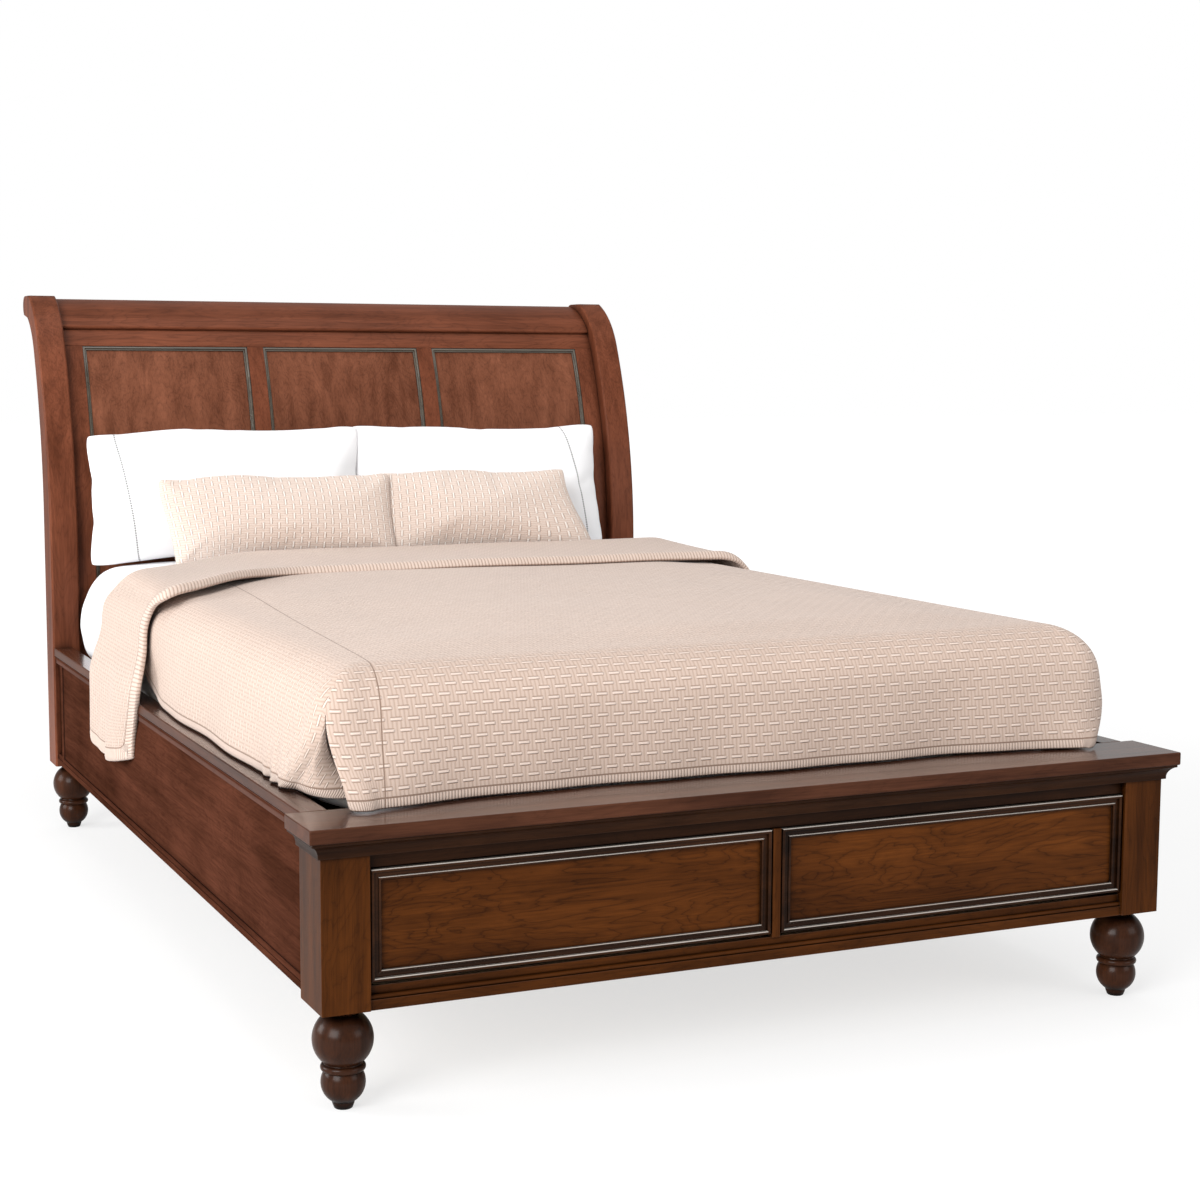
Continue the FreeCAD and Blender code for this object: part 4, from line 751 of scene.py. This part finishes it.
def turned_down():
    """The coverlet's head end, folded over towards the foot in a wide band with a ribbed hem.

    Reach runs along the band from right to left, and share from its back fold to its front hem. At both
    ends it bends down on an arc: a little way at the right, and at the left down to its hem outside the
    rail. Towards the left the band swings to the foot before it turns down, and its hanging end draws
    together and folds, two sines of the share.
    """
    top = BAND_HIGH[2] + 0.004
    turn = math.radians(89)
    left = BAND_LOW[0] + 0.008 + LEFT_RADIUS
    right = 0.803 - RIGHT_RADIUS
    straight = top - LEFT_RADIUS - BAND_LOW[2] + 0.012
    right_drop = RIGHT_RADIUS * turn + 0.050
    total = right_drop + right - left + LEFT_RADIUS * turn + straight
    shares = np.concatenate([np.linspace(0, CURL_SHARE, 5)[:-1], np.linspace(CURL_SHARE, 0.93, 16)[:-1],
                             np.linspace(0.93, 1, 7)])
    reach, share = np.meshgrid(np.linspace(0, total, 104), shares, indexing="ij")
    past = reach - right_drop - (right - left)
    out, fall = bend(np.clip(past, 0, None), LEFT_RADIUS, turn)
    right_out, right_fall = bend(np.clip(right_drop - reach, 0, None), RIGHT_RADIUS, turn)
    x = np.where(past > 0, left - out, np.minimum(right - reach + right_drop, right) + right_out)
    swing = head_swing(x)
    hung = smooth_step(fall, 0.10, straight + LEFT_RADIUS)
    back_y = BAND_HIGH[1] - HEAD_PULL * swing
    back_y = back_y + 0.07 * smooth_step(fall, 0.005, 0.085) + 0.055 * smooth_step(fall, 0.12, 0.24)
    front_y = BAND_HIGH[1] - BAND_DEPTH - 0.31 * swing + 0.14 * hung ** 1.5
    inward = 0.040 * smooth_step(fall, 0.0, 0.06) * (1 - smooth_step(fall, 0.12, 0.23))
    y = back_y + (front_y - back_y) * share + 2.6 * inward
    lying = 1 - smooth_step(fall + right_fall, 0.0, 0.05)
    slope = 0.010 * (1 - share) ** 1.5 + 0.012 * share ** 2 * np.exp(-((x + 0.58) / 0.13) ** 2)
    curl = np.clip(1 - share / CURL_SHARE, 0, 1) * math.pi / 2
    hem_roll = 0.005 * np.exp(-((share - 0.955) / 0.035) ** 2) - 0.010 * smooth_step(share, 0.970, 1)
    upper = slope + undulation(x, y, 0.8) - CURL_RADIUS * (1 - np.cos(curl)) + hem_roll
    z = top + upper * lying - fall - right_fall
    z = z - 0.022 * (1 - 4 * (share - 0.45) ** 2) * hung + 0.012 * hung
    fold = np.sin(2 * math.pi * share * 1.6 + 0.9) * 0.008 + np.sin(2 * math.pi * share * 3.7) * 0.003
    ends = 0.012 * smooth_step(share, 0.75, 1.0) + 0.01 * smooth_step(0.3 - share, 0, 0.3)
    points = np.stack([x + inward + (ends - fold) * hung, y, z], axis=-1)
    uv = np.stack([reach, share * BAND_DEPTH], axis=-1)
    mesh = grid_mesh("coverlet_turned_down", points, uv)
    front, end = (1 - share) * BAND_DEPTH, total - reach
    mark_hem(mesh, np.minimum(front, end), np.where(front < end, reach, total + front))
    tidy(mesh)
    shade_smooth(mesh, 180)
    piece = link(bpy.data.objects.new("coverlet_turned_down", mesh), "coverlet_fold")
    thicken(piece, BAND_THICK)
    weave = basket_weave("turned_down_weave", COVER_COLOUR, COVER_PAINTED_SHADE, hem_band=0.032, rib=0.0085)
    piece.data.materials.append(weave)


def pillow_mesh(name, width, height, fullness):
    """Two layers sewn round their edges, with rounded corners.

    They lie the fullness times ((1 - across^4)(1 - up^4))^0.55 apart, and the edges draw in by polynomials.
    """
    columns, rows = 45, 27
    u, v = np.meshgrid(np.linspace(-1, 1, columns), np.linspace(-1, 1, rows), indexing="ij")
    crown = (1 - u ** 4) * (1 - v ** 4)
    draw_x = 1 - 0.010 * (1 - v ** 2) * u ** 2 - 0.022 * v ** 12
    draw_z = 1 - 0.035 * (1 - u ** 4) * v ** 2 - 0.050 * u ** 12
    flat_x, flat_z = u * width / 2, v * height / 2
    uv = np.stack([flat_x, flat_z], axis=-1)
    layers = []
    for side in (-1, 1):
        y = side * fullness / 2 * crown ** 0.55
        layers.append(grid_mesh(name, np.stack([flat_x * draw_x, y, flat_z * draw_z], axis=-1), uv))
    shape = bmesh.new()
    for mesh in layers:
        shape.from_mesh(mesh)
    shape.to_mesh(layers[0])
    shape.free()
    tidy(layers[0])
    return layers[0]


def blown(mesh, pressure, frames=22):
    """The same cloth blown up by Blender's cloth solver, without gravity."""
    piece = bpy.data.objects.new("blown", mesh)
    bpy.context.scene.collection.objects.link(piece)
    cloth = piece.modifiers.new("Cloth", "CLOTH")
    cloth.settings.quality = 6
    cloth.settings.mass = 0.25
    cloth.settings.tension_stiffness = 18
    cloth.settings.compression_stiffness = 14
    cloth.settings.shear_stiffness = 5
    cloth.settings.bending_stiffness = 0.25
    cloth.settings.air_damping = 4
    cloth.settings.use_pressure = True
    cloth.settings.uniform_pressure_force = pressure
    cloth.settings.effector_weights.gravity = 0
    cloth.point_cache.frame_end = frames
    for step in range(1, frames + 1):
        bpy.context.scene.frame_set(step)
    shown = piece.evaluated_get(bpy.context.evaluated_depsgraph_get())
    result = bpy.data.meshes.new_from_object(shown)
    bpy.data.objects.remove(piece)
    bpy.context.scene.frame_set(1)
    return result


# How much of a blown pillow's outline comes from its sewn shape, the rest being the simulation's.
OUTLINE_SHARE = 0.80


def fitted(mesh, size):
    """A mesh's points, moved to the origin and scaled to a size."""
    place = points_of(mesh)
    low, high = place.min(axis=0), place.max(axis=0)
    return (place - (low + high) / 2) * (np.array(size) / (high - low))


def pillow(name, size, centre, turns, flare, slump, finish, pressure):
    """A stuffed pillow, blown up flat, scaled to its size, and leaned back with its foot on the bed.

    The turns, in degrees, are its lean back, its tilt in its own plane and its yaw, which brings its right
    end forward. Flare widens the foot of its left and right ends, and slump lets those ends sink. What
    would reach into the bed is pressed flat on it, its depth shrinking as an exponential.
    """
    mesh = pillow_mesh(name, size[0], size[2], size[1] * (0.3))
    place = fitted(mesh, size)
    outline = place
    mesh = blown(mesh, pressure)
    mesh.name = name
    place = fitted(mesh, size)
    place[:, ::2] = OUTLINE_SHARE * outline[:, ::2] + (1 - OUTLINE_SHARE) * place[:, ::2]
    across, up = place[:, 0] / (size[0] / 2), place[:, 2] / (size[2] / 2)
    place[:, 1] *= 1 + 0.14 * smooth_step(-up, -1, 1)
    ends = smooth_step(-across, 0.3, 1) * -flare[0] + smooth_step(across, 0.3, 1) * flare[1]
    place[:, 0] += ends * smooth_step(-up, -0.9, 1)
    place[:, 2] += 0.003 * np.sin(across * 5 + 9 * centre[0]) * smooth_step(up, 0.2, 1)
    lean, tilt, yaw = (Matrix.Rotation(-math.radians(angle), 3, axis) for angle, axis in zip(turns, "XYZ"))
    turn = yaw @ lean @ tilt
    place = place @ np.array(turn).T
    rest = MATTRESS_HIGH[2] + 0.003
    place += np.array([centre[0], centre[1], rest - 0.006 - place[:, 2].min()])
    low = place[:, 2] < rest + 0.02
    place[low, 2] = rest + 0.02 * np.exp((place[low, 2] - rest - 0.02) / 0.02)
    place[:, 2] -= slump[0] * smooth_step(-across, 0.2, 1) + slump[1] * smooth_step(across, 0.2, 1)
    mesh.vertices.foreach_set("co", place.ravel())
    shade_smooth(mesh, 180)
    mark_hem(mesh, np.ones(len(across)), np.zeros(len(across)))
    mesh.materials.clear()
    mesh.materials.append(finish)
    piece = bpy.data.objects.new(name, mesh)
    subdivide(piece)
    return piece


# The two pairs: how each leans and is stuffed, and for its left and right piece the width as a share of half
# the pair, the tilt, the flare of its ends' feet and the slump of its ends.
HEADRESTS = (
    {"node": "pillows", "word": "pillow", "lean": 9, "yaw": 1.2, "fill": 0.8, "pressure": 6.0,
     "wider": (1.035, 1.02), "tilts": (-0.6, -0.6),
     "flares": ((0.0, 0.0), (0.0, 0.012)), "slumps": ((0.018, 0.0), (0.0, 0.0))},
    {"node": "shams", "word": "sham", "lean": 14, "yaw": 2.5, "fill": 0.85, "pressure": 7.0,
     "wider": (1.06, 0.93), "tilts": (-1.3, -1.9),
     "flares": ((-0.036, 0.01), (0.0, 0.075)), "slumps": ((0.014, 0.0), (0.016, 0.0))},
)


def headrests():
    """Two white pillows against the headboard, and two shams in the coverlet's cloth before them."""
    weave = basket_weave("sham_weave", SHAM_COLOUR, SHAM_PAINTED_SHADE, cell=SHAM_CELL, turned=True)
    cases = [cotton("pillow_cotton_" + side, (0.90, 0.90, 0.91), line)
             for side, line in (("left", -0.262), ("right", 0.275))]
    finishes = {"pillows": cases, "shams": (weave, weave)}
    for pair in HEADRESTS:
        node = pair["node"]
        low, high = corners(node)
        width = (high[0] - low[0]) / 2
        slant = math.radians(pair["lean"])
        tall = (high[2] - low[2]) / math.cos(slant)
        thick = (high[1] - low[1]) - 0.25 * tall * math.sin(slant)
        for k, side in enumerate(("left", "right")):
            wider = pair["wider"][k]
            piece = pillow(
                side + "_" + pair["word"] + "_stuffed", (width * wider, thick, tall),
                (low[0] + (k + wider / 2) * width, (low[1] + high[1]) / 2),
                (pair["lean"], pair["tilts"][k], pair["yaw"]),
                pair["flares"][k], pair["slumps"][k], finishes[node][k], pair["pressure"])
            link(piece, node)


# Stage, light and camera


def floor():
    """A plain white floor that glows a little to the camera, more far away, so that only shadow tints it."""
    mesh = bpy.data.meshes.new("floor")
    far = 40.0
    mesh.from_pydata([(-far, -far, 0), (far, -far, 0), (far, far, 0), (-far, far, 0)], [], [(0, 1, 2, 3)])
    piece = bpy.data.objects.new("floor", mesh)
    bpy.context.scene.collection.objects.link(piece)
    material, tree, shader = fresh("pale_floor")
    shader.inputs["Base Color"].default_value = (0.86, 0.86, 0.86, 1)
    shader.inputs["Roughness"].default_value = 0.9
    shader.inputs["Specular IOR Level"].default_value = 0.0
    rays = add(tree, "LightPath")
    place = add(tree, "TexCoord").outputs["Object"]
    distance = add(tree, "VectorMath", {0: place}, operation="LENGTH").outputs["Value"]
    away = add(tree, "MapRange", {"Value": distance, "From Min": 2.2, "From Max": 4.5,
                                  "To Min": 0.60}).outputs[0]
    share = math_node(tree, "MULTIPLY", rays.outputs["Is Camera Ray"], away)
    glow = add(tree, "Emission", {0: (1, 1, 1, 1), 1: 1.10})
    blend = add(tree, "MixShader", {0: share, 1: shader.outputs[0], 2: glow.outputs[0]})
    out = [node for node in tree.nodes if node.type == "OUTPUT_MATERIAL"][0]
    tree.links.new(blend.outputs[0], out.inputs[0])
    mesh.materials.append(material)


def sky():
    """White to the camera and to transmission rays, and an even soft light for the rest."""
    world = bpy.data.worlds.new("studio")
    world.use_nodes = True
    tree = world.node_tree
    tree.nodes.clear()
    rays = add(tree, "LightPath")
    seen = math_node(tree, "MAXIMUM", rays.outputs["Is Camera Ray"], rays.outputs["Is Transmission Ray"])
    light = add(tree, "Background", {0: (1, 1, 1, 1), 1: 0.50})
    white = add(tree, "Background", {0: (1, 1, 1, 1), 1: 1.0})
    blend = add(tree, "MixShader", {0: seen, 1: light.outputs[0], 2: white.outputs[0]})
    add(tree, "OutputWorld", {0: blend.outputs[0]})
    bpy.context.scene.world = world


def lamp(name, place, aim, size, power):
    """A soft oblong lamp, turned towards what it lights."""
    data = bpy.data.lights.new(name, "AREA")
    data.shape = "RECTANGLE"
    data.size, data.size_y = size
    data.energy = power
    piece = bpy.data.objects.new(name, data)
    piece.location = place
    piece.rotation_euler = (Vector(aim) - Vector(place)).to_track_quat("-Z", "Y").to_euler()
    bpy.context.scene.collection.objects.link(piece)


def lights():
    """A broad soft key from the left and front, a soft light from above and a weak one from the right."""
    lamp("key_left", (-5.2, -4.2, 3.0), (0, 0.2, 0.6), (3.6, 2.8), 400)
    lamp("side_left", (-5.0, 1.6, 1.9), (0, 0.3, 0.6), (2.4, 1.8), 140)
    lamp("top", (0.2, -0.6, 5.0), (0, -0.2, 0.4), (4.0, 3.5), 90)
    lamp("right_front", (3.4, -5.2, 2.2), (0.2, 0.2, 0.6), (3.0, 2.0), 60)


# The photograph's camera: its place, its turns in degrees, and its focus and axis in the photograph's pixels.
CAMERA_PLACE = (-1.765, -4.28783, 1.180)
CAMERA_YAW, CAMERA_PITCH, CAMERA_ROLL = 23.55, 6.37, -0.11
FOCAL_PIXELS, PHOTO_PIXELS, AXIS_PIXEL = 2066.0, 1200.0, 540.0
SENSOR = 36.0


def camera():
    """The photograph's view: yaw to the right of the bed's length, tilted down, with its small shift."""
    data = bpy.data.cameras.new("photo_view")
    data.sensor_width = SENSOR
    data.lens = SENSOR * FOCAL_PIXELS / PHOTO_PIXELS
    data.shift_x = (PHOTO_PIXELS / 2 - AXIS_PIXEL) / PHOTO_PIXELS
    piece = bpy.data.objects.new("photo_view", data)
    yaw, pitch, roll = (math.radians(angle) for angle in (CAMERA_YAW, CAMERA_PITCH, CAMERA_ROLL))
    aim = Matrix.Rotation(-yaw, 4, "Z") @ Matrix.Rotation(math.pi / 2 - pitch, 4, "X")
    piece.matrix_world = Matrix.Translation(CAMERA_PLACE) @ aim @ Matrix.Rotation(-roll, 4, "Z")
    bpy.context.scene.collection.objects.link(piece)
    bpy.context.scene.camera = piece


boards()
plain_nodes()
turned_feet()
mattress()
coverlet()
turned_down()
headrests()
floor()
sky()
lights()
camera()
bpy.context.scene.view_settings.view_transform = "Standard"
